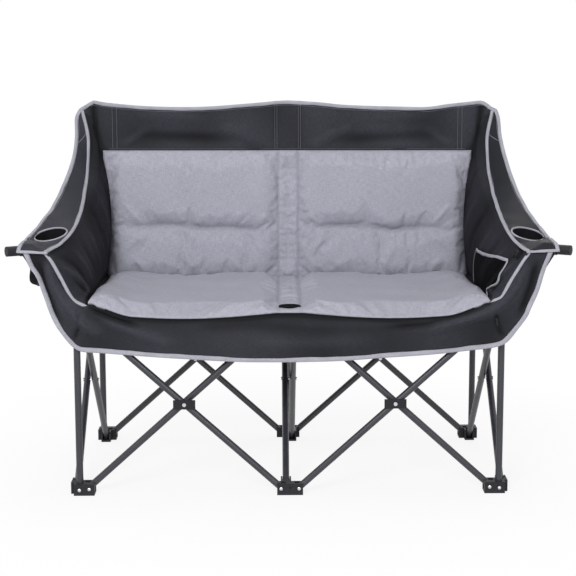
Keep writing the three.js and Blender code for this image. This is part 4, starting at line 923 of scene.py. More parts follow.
def make_seat_pad():
    depth = np.linspace(0, 1, 73)
    y = mix(PAD_FRONT, PAD_REAR, mix(depth, ease(depth), 0.35))
    x, y = np.meshgrid(PAD_HALF * across_pad(133), y)
    low = sling_z(x, y) + CLOTH_T / 2 + GAP
    thick = pad_thickness(x, y - PAD_FRONT, PAD_HALF, PAD_REAR - PAD_FRONT, 20)
    pinned = seam_pins(x)
    pinned[np.hypot(x, y - BOSS_Y) < BOSS_R + 6] = 1
    top = finer(inflated(np.stack([x, y, low + thick], axis=2), pinned), 1)
    x, y = top[..., 0], top[..., 1]
    past_seam = np.abs(x) - PAD_SEAM_X
    relief = -2.4 * bell(past_seam, 3.2) + 0.9 * waves(x, y, 21, 9, 90, 260)
    relief += 0.35 * waves(x, y, 22, 9, 25, 60) * bell(past_seam - 14, 22)
    relief += folds(x, y, SEAT_FOLDS, -1) + folds(x, y, SEAT_FOLDS, 1)
    side_rim = PAD_HALF - np.abs(x)
    rim = np.minimum(np.minimum(side_rim, y - PAD_FRONT), PAD_REAR - y)
    top[..., 2] += relief * np.clip(rim / 25, 0, 1)
    # painted shade on the seat pad: darker at its rear crease, along its middle seams, in its valleys, by the walls
    # at its sides and around the boss
    depth = 0.25 * bell(PAD_REAR - y, 9) + 0.12 * bell(past_seam, 3.5) - relief / 60
    depth += (0.45 * bell(side_rim, 14) + 0.2 * bell(side_rim, 45)) * ease((y + 280) / 120)
    depth += 0.12 * bell(np.hypot(x, y - BOSS_Y) - BOSS_R, 5)
    low = np.stack([x, y, sling_z(x, y) + CLOTH_T / 2 + GAP], axis=2)
    low[..., 2] = np.minimum(low[..., 2], top[..., 2] - 1.0)
    pad = shell("seat_pad_cushion", top, low, grey_cloth, "front_middle_top", depth=depth)
    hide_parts("seat_pad")
    return top


def back_pad_half(z):
    return np.minimum(520, wall_rear_x(z) - 3.0)


def lumbar(x):
    """Height of the crease across the back pad, and how strong it is."""
    line = LUMBAR_Z + 5 * np.sin(x / 70) + 3 * np.sin(x / 29 + 1)
    return line, ease((np.abs(x) - 65) / 60) * ease((440 - np.abs(x)) / 70)


BACK_FOLDS = [
    (a, b, width, 1.5 * height)
    for a, b, width, height in (
        ((410, 628), (462, 690), 7, 2.6),
        ((425, 622), (480, 655), 6, -2.2),
        ((400, 612), (455, 560), 7, 2.4),
        ((385, 610), (430, 545), 7, -1.9),
        ((95, 614), (52, 560), 7, -1.8),
        ((110, 612), (70, 545), 8, 2.2),
        ((90, 628), (50, 665), 8, 1.8),
        ((300, 612), (250, 540), 10, -1.8),
        ((255, 492), (300, 560), 9, 2.4),
        ((250, 490), (285, 545), 6, -2.2),
        ((120, 490), (160, 530), 8, 1.7),
        ((400, 492), (440, 540), 8, 1.9),
        ((150, 832), (260, 806), 9, -1.8),
        ((380, 832), (330, 780), 9, -1.6),
        ((60, 828), (130, 800), 9, 1.6),
    )
]


def make_back_pad():
    unit_x, z = np.meshgrid(across_pad(137), np.linspace(BACK_FOOT_Z + 1, BAND_Z, 49))
    x = unit_x * back_pad_half(z)
    half = 513
    thick = pad_thickness(unit_x * half, z - BACK_FOOT_Z, half, BAND_Z - BACK_FOOT_Z, 19)
    line, reach = lumbar(x)
    dip = 7.0 * reach * bell(z - line, 15)
    front_y = back_y(x) - CLOTH_T / 2 - GAP - np.maximum(thick - dip, 3.5)
    pinned = seam_pins(x)
    off = np.abs(z - line)
    crease = off <= np.min(off, axis=0, keepdims=True) + 0.1
    pinned[crease & (reach > 0.75)] = 1
    front = finer(inflated(np.stack([x, front_y, z], axis=2), pinned), 1)
    x, z = front[..., 0], front[..., 2]
    line, reach = lumbar(x)
    off = z - line
    past_seam = np.abs(x) - PAD_SEAM_X
    relief = -3.2 * bell(past_seam, 3.2)
    relief -= 5.0 * reach * np.where(off > 0, bell(off, 13), bell(off, 4.5))
    relief += 2.6 * reach * bell(off + 9, 9) + 0.9 * waves(x, z, 31, 9, 100, 260)
    relief += 0.35 * waves(x, z, 32, 9, 25, 60) * bell(past_seam - 14, 22)
    relief += folds(x, z, BACK_FOLDS, -1) + folds(x, z, BACK_FOLDS, 1)
    side_rim = back_pad_half(z) - np.abs(x)
    rim = np.minimum(np.minimum(side_rim, z - BACK_FOOT_Z), BAND_Z - z)
    front[..., 1] -= relief * np.clip(rim / 22, 0, 1)
    # painted shade on the back pad: darker under the crease, in its valleys and seams, towards its sides by the walls
    # and more so lower down, at its foot and under the band
    depth = 0.2 * reach * bell(off - 3, 7) - relief / 50 + 0.14 * bell(past_seam, 3.5)
    lower = 0.25 + 0.75 * ease((800 - z) / 180)
    depth += (0.56 * bell(side_rim, 16) + 0.28 * bell(side_rim - 12, 26)) * lower
    depth += 0.3 * bell(z - BACK_FOOT_Z, 12) * ease((np.abs(x) - 30) / 60) + 0.1 * bell(BAND_Z - z, 5)
    behind = np.stack([x, back_y(x) - CLOTH_T / 2 - GAP, z], axis=2)
    behind[..., 1] = np.maximum(behind[..., 1], front[..., 1] + 1.0)
    pad = shell("back_pad_cushion", front, behind, grey_cloth, "rear_middle_foot", depth=depth)
    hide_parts("back_pad")
    return front


# Arms: from the outer edge over the top to the inner edge, and down the wall to its foot

# From the front to the rear: depth, then distance and height of the inner edge and of the outer edge
ARM_EDGES = {
    "left": [
        (-300.0, 601.2, 624.5, 667.1, 647.5),
        (-232.5, 573.0, 639.6, 666.8, 649.0),
        (-167.8, 553.7, 661.0, 660.3, 657.5),
        (-32.8, 549.5, 689.0, 631.5, 700.5),
        (96.0, 553.3, 726.3, 616.6, 748.3),
        (185.4, 556.3, 772.2, 598.5, 815.5),
        (234.9, 557.5, 823.7, 593.2, 877.8),
        (256.8, 559.0, 880.0, 594.9, 928.0),
        (262.45, 574.0, 950.0, 585.0, 952.0),
    ],
    "right": [
        (-300.0, 591.9, 623.5, 663.9, 648.5),
        (-232.5, 573.3, 638.0, 663.4, 649.5),
        (-167.8, 560.9, 659.1, 660.7, 655.5),
        (-32.8, 559.5, 688.0, 639.5, 697.2),
        (96.0, 560.3, 726.3, 625.0, 748.3),
        (185.4, 560.3, 772.2, 611.0, 815.5),
        (234.9, 560.5, 823.7, 601.0, 877.8),
        (256.8, 562.0, 880.0, 597.5, 928.0),
        (262.45, 576.0, 950.0, 590.0, 952.0),
    ],
}
# Inner edges of the front panel's ears, from the seat up, as distance and height
EAR_IN = {
    "left": [
        *((502, 492.4), (516.8, 498.8), (532.7, 507.6), (545.9, 525.3), (564.8, 563.1)),
        *((576.5, 585.6), (585.9, 603.2), (600.2, 623.2), (604, 630)),
    ],
    "right": [
        *((500.7, 497.9), (510.6, 505.5), (520.6, 509.3), (529.2, 515.6), (544.9, 546.0)),
        *((564.2, 578.7), (582.3, 607.7), (590.1, 618.7), (597, 630)),
    ],
}
# The middles of the cup holes, the outward lean of the pouches, and the slopes of the holes' plane to rear and side
CUP_AT = {"left": np.array([608.0, -182.0, 655.0]), "right": np.array([612.5, -182.0, 653.5])}
CUP_LEAN = {"left": 0.17, "right": 0.02}
CUP_RISE, CUP_ROLL = 0.27, -0.165
CUP_HOLE = 41.0
# Rows of an arm's grid over its top and down its wall, columns of its drape over the rod, and columns behind it
TOP_ROWS, WALL_ROWS, DRAPE, ARM_COLUMNS = 25, 69, 8, 151
ARM_FRONT_Y, ARM_DEPTH = -300, 560
WALL_FOOT_X = 514.0
# The wall's foot is turned in under the seat: each row goes inward and down
TUCK = ((5, 3.5), (11, 5), (18, 5.5), (25, 5))
WALL_FOLDS = (
    ((-285, 600), (-170, 500), 10, 5.0),
    ((-255, 612), (-120, 505), 9, -4.8),
    ((-210, 622), (-60, 510), 12, 4.8),
    ((-250, 555), (-190, 495), 8, -4.2),
    ((-140, 640), (20, 520), 14, -4.0),
    ((-40, 650), (90, 530), 14, 4.0),
    ((150, 740), (225, 560), 12, 3.4),
    ((60, 700), (180, 540), 14, -3.4),
    ((215, 800), (245, 640), 9, -2.4),
    ((-235, 500), (-130, 512), 8, 4.6),
)


def arm_edges(side):
    """The arm's outer and inner edges, read at the same depths."""
    table = np.array(ARM_EDGES[side])
    s = np.linspace(0, 1, 400)
    inner = curve_through(table[:, [1, 0, 2]], 400)
    outer = curve_through(table[:, [3, 0, 4]], 400)
    out_s = mix(np.interp(inner[:, 1], outer[:, 1], s), s, ease((s - 0.7) / 0.3))
    outer = read_at(out_s, s, outer)
    return [read_at(np.linspace(0, 399, ARM_COLUMNS), np.arange(400), rows) for rows in (outer, inner)]


def arm_points(side):
    cup = CUP_AT[side]
    outer, inner = arm_edges(side)
    deep = (inner[:, 1] - inner[0, 1]) / (inner[-1, 1] - inner[0, 1])
    foot_x = mix(WALL_FOOT_X, 517.4, ease(deep))
    foot = np.stack([foot_x, inner[:, 1], np.full(ARM_COLUMNS, WALL_FOOT_Z)], axis=1)
    rows = []
    on_rod = 1 - ease(deep / 0.2)
    for v in np.linspace(0, 1, TOP_ROWS):
        p = mix(outer, inner, v)
        rod_z = SLEEVE_TOP + 1 - 22 * max(0, v - 0.45) / 0.55
        z = mix(p[:, 2] + 4.0 * np.sin(np.pi * v), np.maximum(p[:, 2], rod_z), on_rod)
        off_x, off_y = p[:, 0] - cup[0], p[:, 1] - cup[1]
        ring_z = cup[2] + CUP_RISE * off_y + CUP_ROLL * off_x
        past_ring = np.hypot(off_x, off_y) - CUP_HOLE - 1
        near = ease(v / 0.2) * ease((1 - v) / 0.2) * (1 - ease(past_ring / 30))
        rows.append(np.stack([p[:, 0], p[:, 1], mix(z, ring_z, near)], axis=1))
    ear = np.array(EAR_IN[side])
    for w in np.linspace(0, 1, WALL_ROWS + 1)[1:]:
        p = mix(inner, foot, w)
        rear_x = wall_rear_x(mix(inner[-1, 2], WALL_FOOT_Z, w))
        pull = (mix(inner[-1, 0], foot[-1, 0], w) - rear_x) * ease(w / 0.05)
        ear_x = np.interp(mix(624, WALL_FOOT_Z, w), ear[:, 1], ear[:, 0])
        ear_x = mix(ear_x, WALL_FOOT_X, ease((w - 0.86) / 0.14))
        x = p[:, 0] - pull * ease((deep - 0.25) / 0.75) ** 1.3
        rows.append(np.stack([mix(x, ear_x, 1 - ease(deep / 0.15)), p[:, 1], p[:, 2]], axis=1))
    points = np.stack(rows + [rows[-1] - (inward, 0, down) for inward, down in TUCK])
    # in front the cloth comes down over the rod, and the wall meets the panel's ear
    steps = np.linspace(0, 1, DRAPE + 1)[1:, None]
    first = points[:, 0]
    v = np.linspace(0, 1, TOP_ROWS)
    edge_z = np.concatenate([mix(628.0, 625.0, v), first[TOP_ROWS:, 2]])
    w = np.arange(1, len(first) - TOP_ROWS + 1) / WALL_ROWS
    forward = np.concatenate([np.full(TOP_ROWS, 14.0), mix(14.0, 5.5, ease(w / 0.08))])
    outward = np.concatenate([7.0 * (1 - v) ** 3 - 1.5 * v**3, -1.5 * (1 - ease(w / 0.1))])
    drape = np.stack(
        [
            first[:, 0] + outward * steps,
            first[:, 1] - forward * np.sin(steps * np.pi / 2),
            first[:, 2] + (edge_z - first[:, 2]) * (1 - np.cos(steps * np.pi / 2)),
        ],
        axis=2,
    )
    return np.concatenate([drape[::-1].transpose(1, 0, 2), points], axis=1)


def make_arm(side, s):
    points = arm_points(side)
    x, y, z = points[..., 0], points[..., 1], points[..., 2]
    rows, columns, _ = points.shape
    row, column = np.arange(rows)[:, None], np.arange(columns)[None]
    wall = np.ones((rows, columns)) * (row >= TOP_ROWS)
    top = 1 - wall
    above_foot = rows - 1 - len(TUCK) - row
    rim = ease(above_foot / 8) * ease((column - DRAPE) / 8) * ease((columns - 1 - column) / 10)
    relief = (1.6 * waves(y, z, 41, 8, 120, 300) + folds(y, z, WALL_FOLDS)) * wall
    past_ring = np.hypot(x - CUP_AT[side][0], y - CUP_AT[side][1]) - CUP_HOLE - 3
    relief += 1.2 * waves(x + 40 * s, y, 43, 6, 70, 160) * top * ease(past_ring / 25)
    points = points + slopes(points) * (relief * rim)[..., None]
    points[..., 0] *= s
    # painted shade on the arm: the wall darker towards the rear, in its valleys, near its foot and lower down, the
    # left wall darker still, and the right arm's top much darker than the left's, for how the light falls
    deep = np.clip((y - ARM_FRONT_Y) / ARM_DEPTH, 0, 1)
    low = np.clip((700 - z) / 200, 0, 1)
    shade = mix(0.34, 0.72, ease(deep / 0.6)) - relief / 11
    shade += 0.2 * bell(above_foot, 8) + 0.2 * low * ease(deep / 0.3)
    depth = wall * (shade + (0.12 if side == "left" else 0.0))
    depth += top * ((0.08 if side == "left" else 0.62) + 0.3 * bell(row - TOP_ROWS + 1, 1.5))
    arm = cloth(f"arm_cloth_{side}", points, 2.6, dark_cloth, f"rear_{side}_foot", depth=depth)
    return arm, points


# The seam where the wing's cloth is joined, as rows and columns of the arm's grid
WING_SEAM = {"left": [(23.0, 147), (14, 139), (2.5, 129)], "right": [(23.0, 145), (14, 139), (2.5, 131)]}


def make_wing_seam(side, grid):
    steps = curve_through(WING_SEAM[side], 60)
    rows, columns = steps[:, 0].astype(int), steps[:, 1].astype(int)
    normal = slopes(grid)[rows, columns]
    normal *= np.sign(-normal[:, 1:2] + 1e-9)
    line = grid_at(grid, steps[:, 0], steps[:, 1]) + normal * 1.9
    sewn(f"arm_seam_{side}", [line], grey_thread, f"rear_{side}_foot", 3.4, 2.9, 0.6)


# Row and column of the right arm's grid
CLIP_AT = (32, 16)


def make_clip(grid):
    """A small clip on a loop of webbing, hung on the right wall under its front edge."""
    row, column = CLIP_AT
    here = grid[row, column]
    along = unit(grid[row, column + 5] - grid[row, column - 5])
    down = unit(grid[row + 6, column] - grid[row - 5, column])
    out = np.cross(along, down)
    out *= -np.sign(out[0])
    for name, half, (shift, drop, lift), finish, slot in (
        ("clip_loop", (9.0, 15.0, 1.2), (0, -3.0, 3.2), lining_cloth, "dark_cloth"),
        ("clip_body", (11.0, 9.0, 3.4), (0, 2.0, 7.0), black_plastic, "black_plastic"),
        ("clip_tongue", (2.2, 8.0, 1.6), (6, 8.0, 9.5), black_plastic, "black_plastic"),
    ):
        shape = bmesh.new()
        bmesh.ops.create_cube(shape, size=2.0)
        for vert in shape.verts:
            a, b, c = (vert.co[k] * half[k] for k in range(3))
            vert.co = Vector(metres(here + along * (a + shift) + down * (b + drop) + out * (c + lift)))
        cut = {"offset": min(half) * 0.0006, "segments": 3, "affect": "EDGES", "profile": 0.6}
        bmesh.ops.bevel(shape, geom=shape.edges[:], **cut)
        bmesh.ops.recalc_face_normals(shape, faces=shape.faces)
        mesh = bpy.data.meshes.new(name)
        shape.to_mesh(mesh)
        shape.free()
        mesh.uv_layers.new(name="Cloth")
        add_object(name, mesh, "rear_right_foot", finish)


def near_line(x, z, points, width, height):
    """A ridge or valley along a bent line, which fades at its ends."""
    points = np.asarray(points, float)
    runs = run_along(points)
    best = np.full(np.shape(x), 1e9)
    where = np.zeros(np.shape(x))
    for k in range(len(points) - 1):
        ax, az = points[k]
        dx, dz = points[k + 1] - points[k]
        length = runs[k + 1] - runs[k]
        along = np.clip(((x - ax) * dx + (z - az) * dz) / length**2, 0, 1)
        far = np.hypot(x - ax - dx * along, z - az - dz * along)
        nearer = far < best
        best = np.where(nearer, far, best)
        where = np.where(nearer, (runs[k] + along * length) / runs[-1], where)
    return height * ease(where / 0.22) * ease((1 - where) / 0.3) * bell(best, width)


# Front panel: a band from ear to ear, between the seat's lip and its lower edge

LIP_END = 503.0
EAR_COLUMNS = 46
# The panel's outer edge, down the left ear to the middle and up the right ear, as distance and height
OUT_LEFT = [
    *((661, 631), (655, 619), (642, 588), (627, 565), (609, 514), (595, 472), (580, 440), (558, 408)),
    *((536, 385), (515, 377), (470, 374), (375, 366), (279, 359), (128, 350), (0, 348.5)),
]
OUT_RIGHT = [
    *((0, 348.5), (128, 351.5), (226, 358.5), (355, 367), (450, 377), (515, 385), (545, 398)),
    *((572, 431), (594, 462), (604, 486), (621, 526), (636.5, 580), (652, 619), (656.5, 631)),
]
# Where the outer edge turns up into an ear
CORNER_LEFT, CORNER_RIGHT = (-560, 411), (563, 420)


def panel_edges():
    """The panel's inner and outer edges from the left ear to the right, point for point."""
    ear_left, ear_right = (curve_through(EAR_IN[side], EAR_COLUMNS) for side in ("left", "right"))
    lip_x = np.linspace(-LIP_END, LIP_END, 171)
    lip = np.stack([lip_x, sling_z(lip_x, FRONT_EDGE_Y) + CLOTH_T - 1], axis=1)
    inner = np.concatenate([ear_left[::-1] * (-1, 1), lip[1:-1], ear_right])
    left = curve_through([(-x, z) for x, z in OUT_LEFT], 400)
    outer = np.concatenate([left, curve_through(OUT_RIGHT, 400)[1:]])
    run = run_along(outer)
    turns = [run[np.argmin(np.hypot(*(outer - corner).T))] for corner in (CORNER_LEFT, CORNER_RIGHT)]
    marks = [0, EAR_COLUMNS - 1, len(inner) - EAR_COLUMNS, len(inner) - 1]
    at = smoothed(np.interp(np.arange(len(inner)), marks, [0, *turns, run[-1]]), 260)
    return inner, read_at(at, run, outer)


def panel_relief(x, z):
    relief = 2.0 * waves(x, z, 51, 8, 140, 380)
    for line, width, height in (
        ([(-607, 618), (-584, 545), (-560, 503), (-520, 450), (-455, 410)], 13, 15.0),
        ([(594, 612), (586, 590), (568, 544), (541, 506), (506, 478), (417, 450), (330, 425)], 14, 15.0),
        ([(-628, 612), (-608, 540), (-588, 480), (-560, 430)], 10, -5.5),
        ([(620, 612), (604, 545), (588, 495), (566, 450)], 10, -6.0),
        ([(-594, 606), (-566, 545), (-540, 508)], 6, -5.0),
        ([(586, 606), (560, 550), (528, 506)], 6, -5.0),
        ([(-505, 489), (-442, 459), (-365, 434)], 7, -6.5),
        ([(-480, 462), (-373, 421), (-280, 392)], 12, 6.0),
        ([(-521, 482), (-527, 440), (-541, 396)], 5, -6.5),
        ([(514, 476), (522, 440), (539, 405)], 5, -7.0),
        ([(505, 488), (440, 466), (340, 440), (220, 432)], 8, -6.0),
        ([(-250, 430), (-90, 440), (60, 436)], 15, -3.5),
        ([(-120, 400), (60, 396), (240, 402)], 16, 3.6),
    ):
        relief += near_line(x, z, line, width, height)
    return relief


def make_front_panel():
    inner, outer = panel_edges()
    share = np.linspace(0, 1, 61)[:, None]
    flat = mix(inner[None], outer[None], share[..., None])
    x, z = flat[..., 0], flat[..., 1]
    rim = np.minimum(ease(share / 0.1), ease((1 - share) / 0.08))
    column = np.arange(len(inner))
    ends = ease(np.minimum(column, column[::-1]) / 5)
    relief = panel_relief(x, z)
    points = np.stack([x, PANEL_Y - (relief + 1.5) * rim * ends, z], axis=2)
    # painted shade on the panel: a painted shadow under the seat's lip, darker ears, a darker patch low in the
    # middle, darker valleys and lighter ridges, and darker along its lower edge
    in_lip = np.abs(inner[:, 0]) < LIP_END - 2
    under = (0.75 * bell(share, 0.07) + 0.2 * bell(share, 0.25)) * in_lip
    ears = ease((np.abs(x) - 430) / 90)
    shade = 0.3 * ease((x + 150) / 160) * ease((330 - x) / 160) * ease((448 - z) / 20)
    depth = 0.34 + 0.2 * ears + shade - relief / mix(12.0, 9.0, ears) + under + 0.3 * bell(1 - share, 0.06)
    panel = cloth("front_panel_cloth", points, 3.0, dark_cloth, "front_middle_top", depth=depth)
    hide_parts("front_panel")
    return points


# Stitches


def make_stitch_tree():
    lengths_given = dict.fromkeys(("Pitch", "Stitch", "Thread radius"), "Float")
    takes = {"Geometry": "Geometry", **lengths_given, "Thread": "Material"}
    tree, given, out = node_group("Row of stitches", takes, {"Geometry": "Geometry"}, "GeometryNodeTree")
    line = {"Curve": given["Geometry"], "Length": given["Pitch"]}
    spots = put(tree, "GeometryNodeCurveToPoints", line, mode="LENGTH").outputs
    size = {"Vertices": 6, "Side Segments": 2, "Radius": given["Thread radius"], "Depth": given["Stitch"]}
    thread = put(tree, "GeometryNodeMeshCylinder", size, fill_type="NGON").outputs["Mesh"]
    row = {"Points": spots["Points"], "Instance": thread, "Rotation": spots["Rotation"]}
    made = put(tree, "GeometryNodeInstanceOnPoints", row)
    made = put(tree, "GeometryNodeRealizeInstances", {0: made.outputs[0]})
    made = put(tree, "GeometryNodeSetMaterial", {"Geometry": made.outputs[0], "Material": given["Thread"]})
    feed(tree, out, {0: made.outputs[0]})
    return tree


STITCHES = make_stitch_tree()


def sewn(name, rows, thread, body, pitch=5.2, stitch=3.6, radius=0.55):
    """Rows of stitches along paths on the cloth, as one piece."""
    curve = bpy.data.curves.new(name, "CURVE")
    curve.dimensions = "3D"
    for row in rows:
        line = curve.splines.new("POLY")
        line.points.add(len(row) - 1)
        line.points.foreach_set("co", np.concatenate([metres(row), np.ones((len(row), 1))], axis=1).ravel())
    maker = bpy.data.objects.new(name, curve)
    bpy.context.scene.collection.objects.link(maker)
    rule = maker.modifiers.new("Stitches", "NODES")
    rule.node_group = STITCHES
    size = {"Pitch": pitch, "Stitch": stitch, "Thread radius": radius}
    values = {"Thread": thread, **{label: value * MM for label, value in size.items()}}
    for item in STITCHES.interface.items_tree:
        if item.in_out == "INPUT" and item.name in values:
            rule[item.identifier] = values[item.name]
    mesh = bpy.data.meshes.new_from_object(maker.evaluated_get(bpy.context.evaluated_depsgraph_get()))
    bpy.data.objects.remove(maker)
    add_object(name, mesh, body)


# Small parts

TURNED_SIDES = 20
# A rivet's head, as radius and height
DOME = [(4.7, 0.0), (4.7, 0.5), (4.3, 1.2), (3.3, 1.8), (2.0, 2.2), (0.8, 2.35)]


def turned(name, profile, place, axis, finish, body, slot):
    """A turned part from a profile of radius and height, set at place along axis."""
    a = math.tau * np.arange(TURNED_SIDES) / TURNED_SIDES
    rings = [np.stack([r * np.cos(a), r * np.sin(a), np.full(TURNED_SIDES, h)], axis=1) for r, h in profile]
    turn = np.array(Vector(axis).to_track_quat("Z", "Y").to_matrix())
    verts = np.concatenate(rings) @ turn.T + place
    faces = tube_faces(len(profile), TURNED_SIDES) + end_faces(len(profile), TURNED_SIDES)
    new_piece(name, metres(verts), faces, finish, body)


def make_rivet_heads():
    """Bright heads on the pins of the feet, where they show."""
    pins = [(end, side, s * x, 296.9, z) for side, s in SIDES for end in ENDS for x, z in ((536, 14.6), (511, 17))]
    pins += [(end, "middle", s * 23, 302.4, 17) for s in (-1, 1) for end in ENDS]
    for count, (end, side, x, y, z) in enumerate(pins, 1):
        out, name = ENDS[end], f"foot_rivet_{end}_{side}_{count}"
        turned(name, DOME, (x, out * y, z), (0, out, 0), bright_metal, f"{end}_{side}_foot", "bright_rivet")


def cup_frame(side, s):
    axis = unit(np.array([-CUP_ROLL * s, -CUP_RISE, 1.0]))
    along = unit(np.cross(axis, [1.0, 0, 0]))
    return CUP_AT[side] * (s, 1, 1), np.cross(along, axis), along, axis


def cup_hole(arm, side, s):
    at, _, _, axis = cup_frame(side, s)
    bpy.ops.mesh.primitive_cylinder_add(vertices=96, radius=CUP_HOLE * MM, depth=0.12)
    cutter = bpy.context.object
    turn = Vector(axis).to_track_quat("Z", "Y").to_matrix().to_4x4()
    cutter.matrix_world = Matrix.Translation(metres(at)) @ turn
    cut = arm.modifiers.new("Cup hole", "BOOLEAN")
    cut.operation = "DIFFERENCE"
    cut.solver = "EXACT"
    cut.object = cutter
    mesh = bpy.data.meshes.new_from_object(arm.evaluated_get(bpy.context.evaluated_depsgraph_get()))
    arm.modifiers.clear()
    arm.data = mesh
    bpy.data.objects.remove(cutter)


# The pouch under a cup's ring, as radius and height
POUCH = [
    *((41.5, 2), (41.0, -10), (40.5, -28), (41.5, -52), (42, -78)),
    *((41, -98), (38, -110), (31, -117), (18, -120), (1, -121)),
]


def make_cup(side, s):
    at, across, along, axis = cup_frame(side, s)
    body = f"rear_{side}_foot"
    turn = np.linspace(0, math.tau, 120, endpoint=False)
    out = across * np.cos(turn)[:, None] + along * np.sin(turn)[:, None]
    ring = at + out * (CUP_HOLE - 0.3) + axis * 0.6
    tape(f"cup_ring_{side}", ring, out, 4.6, 4.6, body, 61, closed=True, over=0.8)
    dense = curve_through(POUCH, 46)
    a, k = np.meshgrid(np.linspace(0, math.tau, 73), np.arange(len(dense)))
    r, h = dense[k, 0], dense[k, 1]
    soft = ease(-h / 30)
    r = r + soft * (1.3 * np.sin(5 * a + h / 23) + 0.9 * np.sin(9 * a - h / 17 + 1)) * (r / 42)
    hang = np.array([-s * CUP_LEAN[side], -0.08, 1.0])
    middle = at + hang * h[..., None]
    points = middle + r[..., None] * (across * np.cos(a)[..., None] + along * np.sin(a)[..., None])
    normal = slopes(points)
    normal *= np.sign(np.sum(normal * (points - middle), axis=2, keepdims=True) + 1e-6)
    layers = [(points + normal * lift)[:, :-1] for lift in (0.8, -0.8)]
    count, sides = layers[0].shape[:2]
    inside = count * sides
    faces = []
    for first in (0, inside):
        faces += tube_faces(count, sides, first)
        faces.append(tuple(first + inside - sides + i for i in range(sides)))
    faces += [(i, (i + 1) % sides, inside + (i + 1) % sides, inside + i) for i in range(sides)]
    uv = np.stack([a[:, :-1] * 0.042, -h[:, :-1] * MM], axis=2)
    verts = metres(np.concatenate([layer.reshape(-1, 3) for layer in layers]))
    uvs = np.concatenate([uv.reshape(-1, 2)] * 2)
    pouch = new_piece(f"cup_pouch_{side}", verts, faces, lining_cloth, body, uvs)
    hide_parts(f"cup_holder_{side}")


# Front and rear edges of the net pocket on the right wall, from the top down, as rows and columns of the arm's grid
POCKET_FRONT = [(43, 24), (47, 23), (63, 22), (73, 25), (82, 34), (87, 38), (92.5, 34)]
POCKET_REAR = [(64, 89), (72, 93), (82, 95), (92.5, 92)]


def make_pocket(grid):
    u, v = np.meshgrid(np.linspace(0, 1, 41), np.linspace(0, 1, 37))
    ahead, behind = curve_through(POCKET_FRONT, 37)[:, None], curve_through(POCKET_REAR, 37)[:, None]
    place = mix(ahead, behind, u[..., None])
    p = grid_at(grid, place[..., 0] + 3 * np.sin(np.pi * u) * (1 - v), place[..., 1])
    p[..., 0] -= 4.2 + 6 * np.sin(np.pi * u) * np.sqrt(np.maximum(0, 1 - v**2))
    pocket = cloth("side_pocket_net", p, 1.2, black_net, "rear_right_foot")
    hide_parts("side_pocket_right")
    down, back = np.gradient(p, axis=0), np.gradient(p, axis=1)
    tape("pocket_tape_top", p[0], down[0], 8.5, 3.4, "rear_right_foot", 71)
    tape("pocket_tape_front", p[:, 0], back[:, 0], 6.5, 3.4, "rear_right_foot", 72)
    tape("pocket_tape_rear", p[:, -1], -back[:, -1], 3.0, 2.4, "rear_right_foot", 73)


def make_arm_tapes(side, s, grid):
    body = f"rear_{side}_foot"
    inner_row = TOP_ROWS - 1
    outer, inner, front = grid[0], grid[inner_row], grid[: inner_row + 1, 0]
    names = [f"arm_tape_{edge}_{side}" for edge in ("outer", "inner", "front")]
    # the outer tape goes on over the corner of the back
    edge = np.concatenate([outer, [(s * 577, 263.5, 958.0), (s * 566, 264.2, 964.0)]])
    toward = np.concatenate([grid[6] - outer, [grid[6, -1] - grid[0, -1] + (0, 0, -8)] * 2])
    bind(names[0], edge, toward, 5.0, 9.5, 4.6, body, 81)
    bind(names[1], inner + (s * -1.2, -0.6, 1.0), grid[inner_row - 8] - inner, 5.0, 9.5, 4.8, body, 82)
    bind(names[2], front + (0, -0.8, 0), grid[: inner_row + 1, 6] - front, 4.0, 9, 4.8, body, 83)
    normal = slopes(grid)[inner_row]
    up = normal * np.sign(normal[:, 2:3] + 1e-9)
    rows = [(grid[k] + unit(grid[10] - grid[k]) * 8.6 + up * 2.3)[4:-4] for k in (0, inner_row)]
    sewn(f"arm_stitches_{side}", rows, grey_thread, body)
    return names


def make_panel_tapes(points):
    body = "front_middle_top"
    low, into = points[-1], points[-8] - points[-1]
    bind("panel_tape_outer", low + (0, -2.2, 0), into, 5.0, 12, 5.0, body, 91)
    for side, part, fade in (
        ("left", slice(EAR_COLUMNS), (0, 14)),
        ("right", slice(-EAR_COLUMNS, None), (14, 0)),
    ):
        edge, toward = points[0, part] + (0, -0.8, 0), points[7, part] - points[0, part]
        bind(f"panel_tape_inner_{side}", edge, toward, 4.0, 8.5, 4.4, body, 92, fade)
    rows = [(low + unit(into) * 9.6 + (0, -3.2, 0))[3:-3]]
    sewn("panel_stitches", rows, grey_thread, body)
    # piping under the seat's lip, in black cloth, which also stands in for the shade under the lip
    piping("seat_piping", even(points[0, 52:-52] + (0, -0.5, 1.2), 5.0), 2.4, body)


def piping(name, path, radius, body):
    tangent = unit(np.gradient(path, axis=0))
    out = unit(np.cross(tangent, (0, -1.0, 0)))
    other = np.cross(tangent, out)
    turn = np.linspace(0, math.tau, 10, endpoint=False)
    around = out[:, None] * np.cos(turn)[None, :, None] + other[:, None] * np.sin(turn)[None, :, None]
    rings = path[:, None] + radius * around
    count, sides, _ = rings.shape
    faces = tube_faces(count, sides) + end_faces(count, sides)
    uv = np.stack(np.broadcast_arrays(run_along(path)[:, None], turn[None] * radius), axis=2) * MM
    new_piece(name, metres(rings.reshape(-1, 3)), faces, lining_cloth, body, uv.reshape(-1, 2))


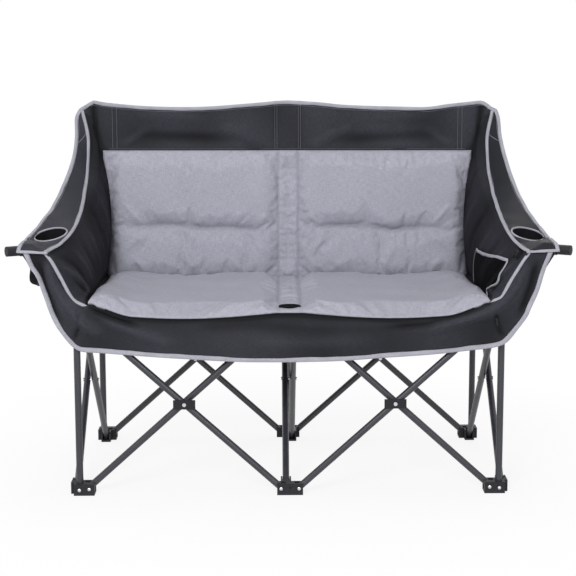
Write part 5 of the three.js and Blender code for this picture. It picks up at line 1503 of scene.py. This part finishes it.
def make_back_tapes(points):
    body = "rear_middle_foot"
    top = points[-1]
    bind("back_tape_top", top, points[-6] - top, 5.0, 10, 4.8, body, 95)
    x = points[0, :, 0]
    rows = []
    for at in sorted(side * seam for side in (-1, 1) for seam in BAND_SEAMS):
        column = points[:, np.argmin(np.abs(x - at))]
        rows.append(column[column[:, 2] > BAND_Z + 3] + (0, -1.9, 0))
    rows.append((top + (0, -2.6, -11.5))[6:-6])
    x = np.linspace(-500, 500, 200)
    rows.append(np.stack([x, back_y(x) - 2.6, np.full(200, BAND_Z + 4)], axis=1))
    sewn("back_stitches", rows, dark_thread, body)


def pad_lines(grid, lift):
    """Lines down a pad, on both sides of its middle seams."""
    lines = []
    for at in (-26.0, -30.5, 26.0, 30.5):
        line = [read_at(np.array([at]), row[:, 0], row)[0] for row in grid]
        lines.append(np.array(line) + lift)
    return lines


def make_pad_stitches(top, front):
    top = top[(top[:, 0, 1] >= -222) & (top[:, 0, 1] <= 228)]
    for name, rows, body in (
        ("seat_pad_stitches", pad_lines(top, (0, 0, 0.35)), "front_middle_top"),
        ("back_pad_stitches", pad_lines(front[3:-2], (0, -0.35, 0)), "rear_middle_foot"),
    ):
        sewn(name, rows, grey_thread, body, 4.6, 3.1, 0.5)


def make_pole_sleeves():
    """Cloth sleeves on the rear of the back, in which the three poles stand."""
    low, high = BACK_FOOT_Z + 22, 955
    turn, z = np.meshgrid(np.linspace(0, np.pi, 15), np.linspace(low, high, 60))
    loose = 12.2 + 0.5 * waves(turn * 20, z, 97, 6, 30, 90)
    y = BACK_Y + 4.5 + (loose * 1.55) * np.sin(turn) ** 0.7
    for side, at in (("left", -POST_X), ("middle", 0.0), ("right", POST_X)):
        points = np.stack([at + loose * 1.25 * np.cos(turn), y, z], axis=2)
        sleeve = cloth(f"pole_sleeve_{side}", points, 1.6, dark_cloth, "rear_middle_foot")


make_sling()
back_points = make_back_panel()
seat_top = make_seat_pad()
back_front = make_back_pad()
make_panel_tapes(make_front_panel())
make_back_tapes(back_points)
make_pad_stitches(seat_top, back_front)
make_pole_sleeves()
make_rivet_heads()
for side, s in SIDES:
    arm, arm_grid = make_arm(side, s)
    cup_hole(arm, side, s)
    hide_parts(f"arm_cover_{side}")
    make_cup(side, s)
    if side == "right":
        make_pocket(arm_grid)
        make_clip(arm_grid)
    tapes = make_arm_tapes(side, s, arm_grid)
    make_wing_seam(side, arm_grid)

# Soft pieces, the seat, back and panel ones and the arm ones, each get their own copy of their mesh
ACROSS = ("back_", "seat_", "front_panel", "panel_", "pole_sleeve")
ALONG = ("arm_cloth", "arm_tape", "arm_stitches", "arm_seam", "clip_", "cup_", "side_pocket", "pocket_")
for obj in list(bpy.context.scene.objects):
    if obj.type != "MESH" or obj.hide_render or "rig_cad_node" in obj or obj.name.endswith("_finish"):
        continue
    if obj.name.startswith(ACROSS):
        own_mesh(obj)
    elif obj.name.startswith(ALONG):
        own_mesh(obj)
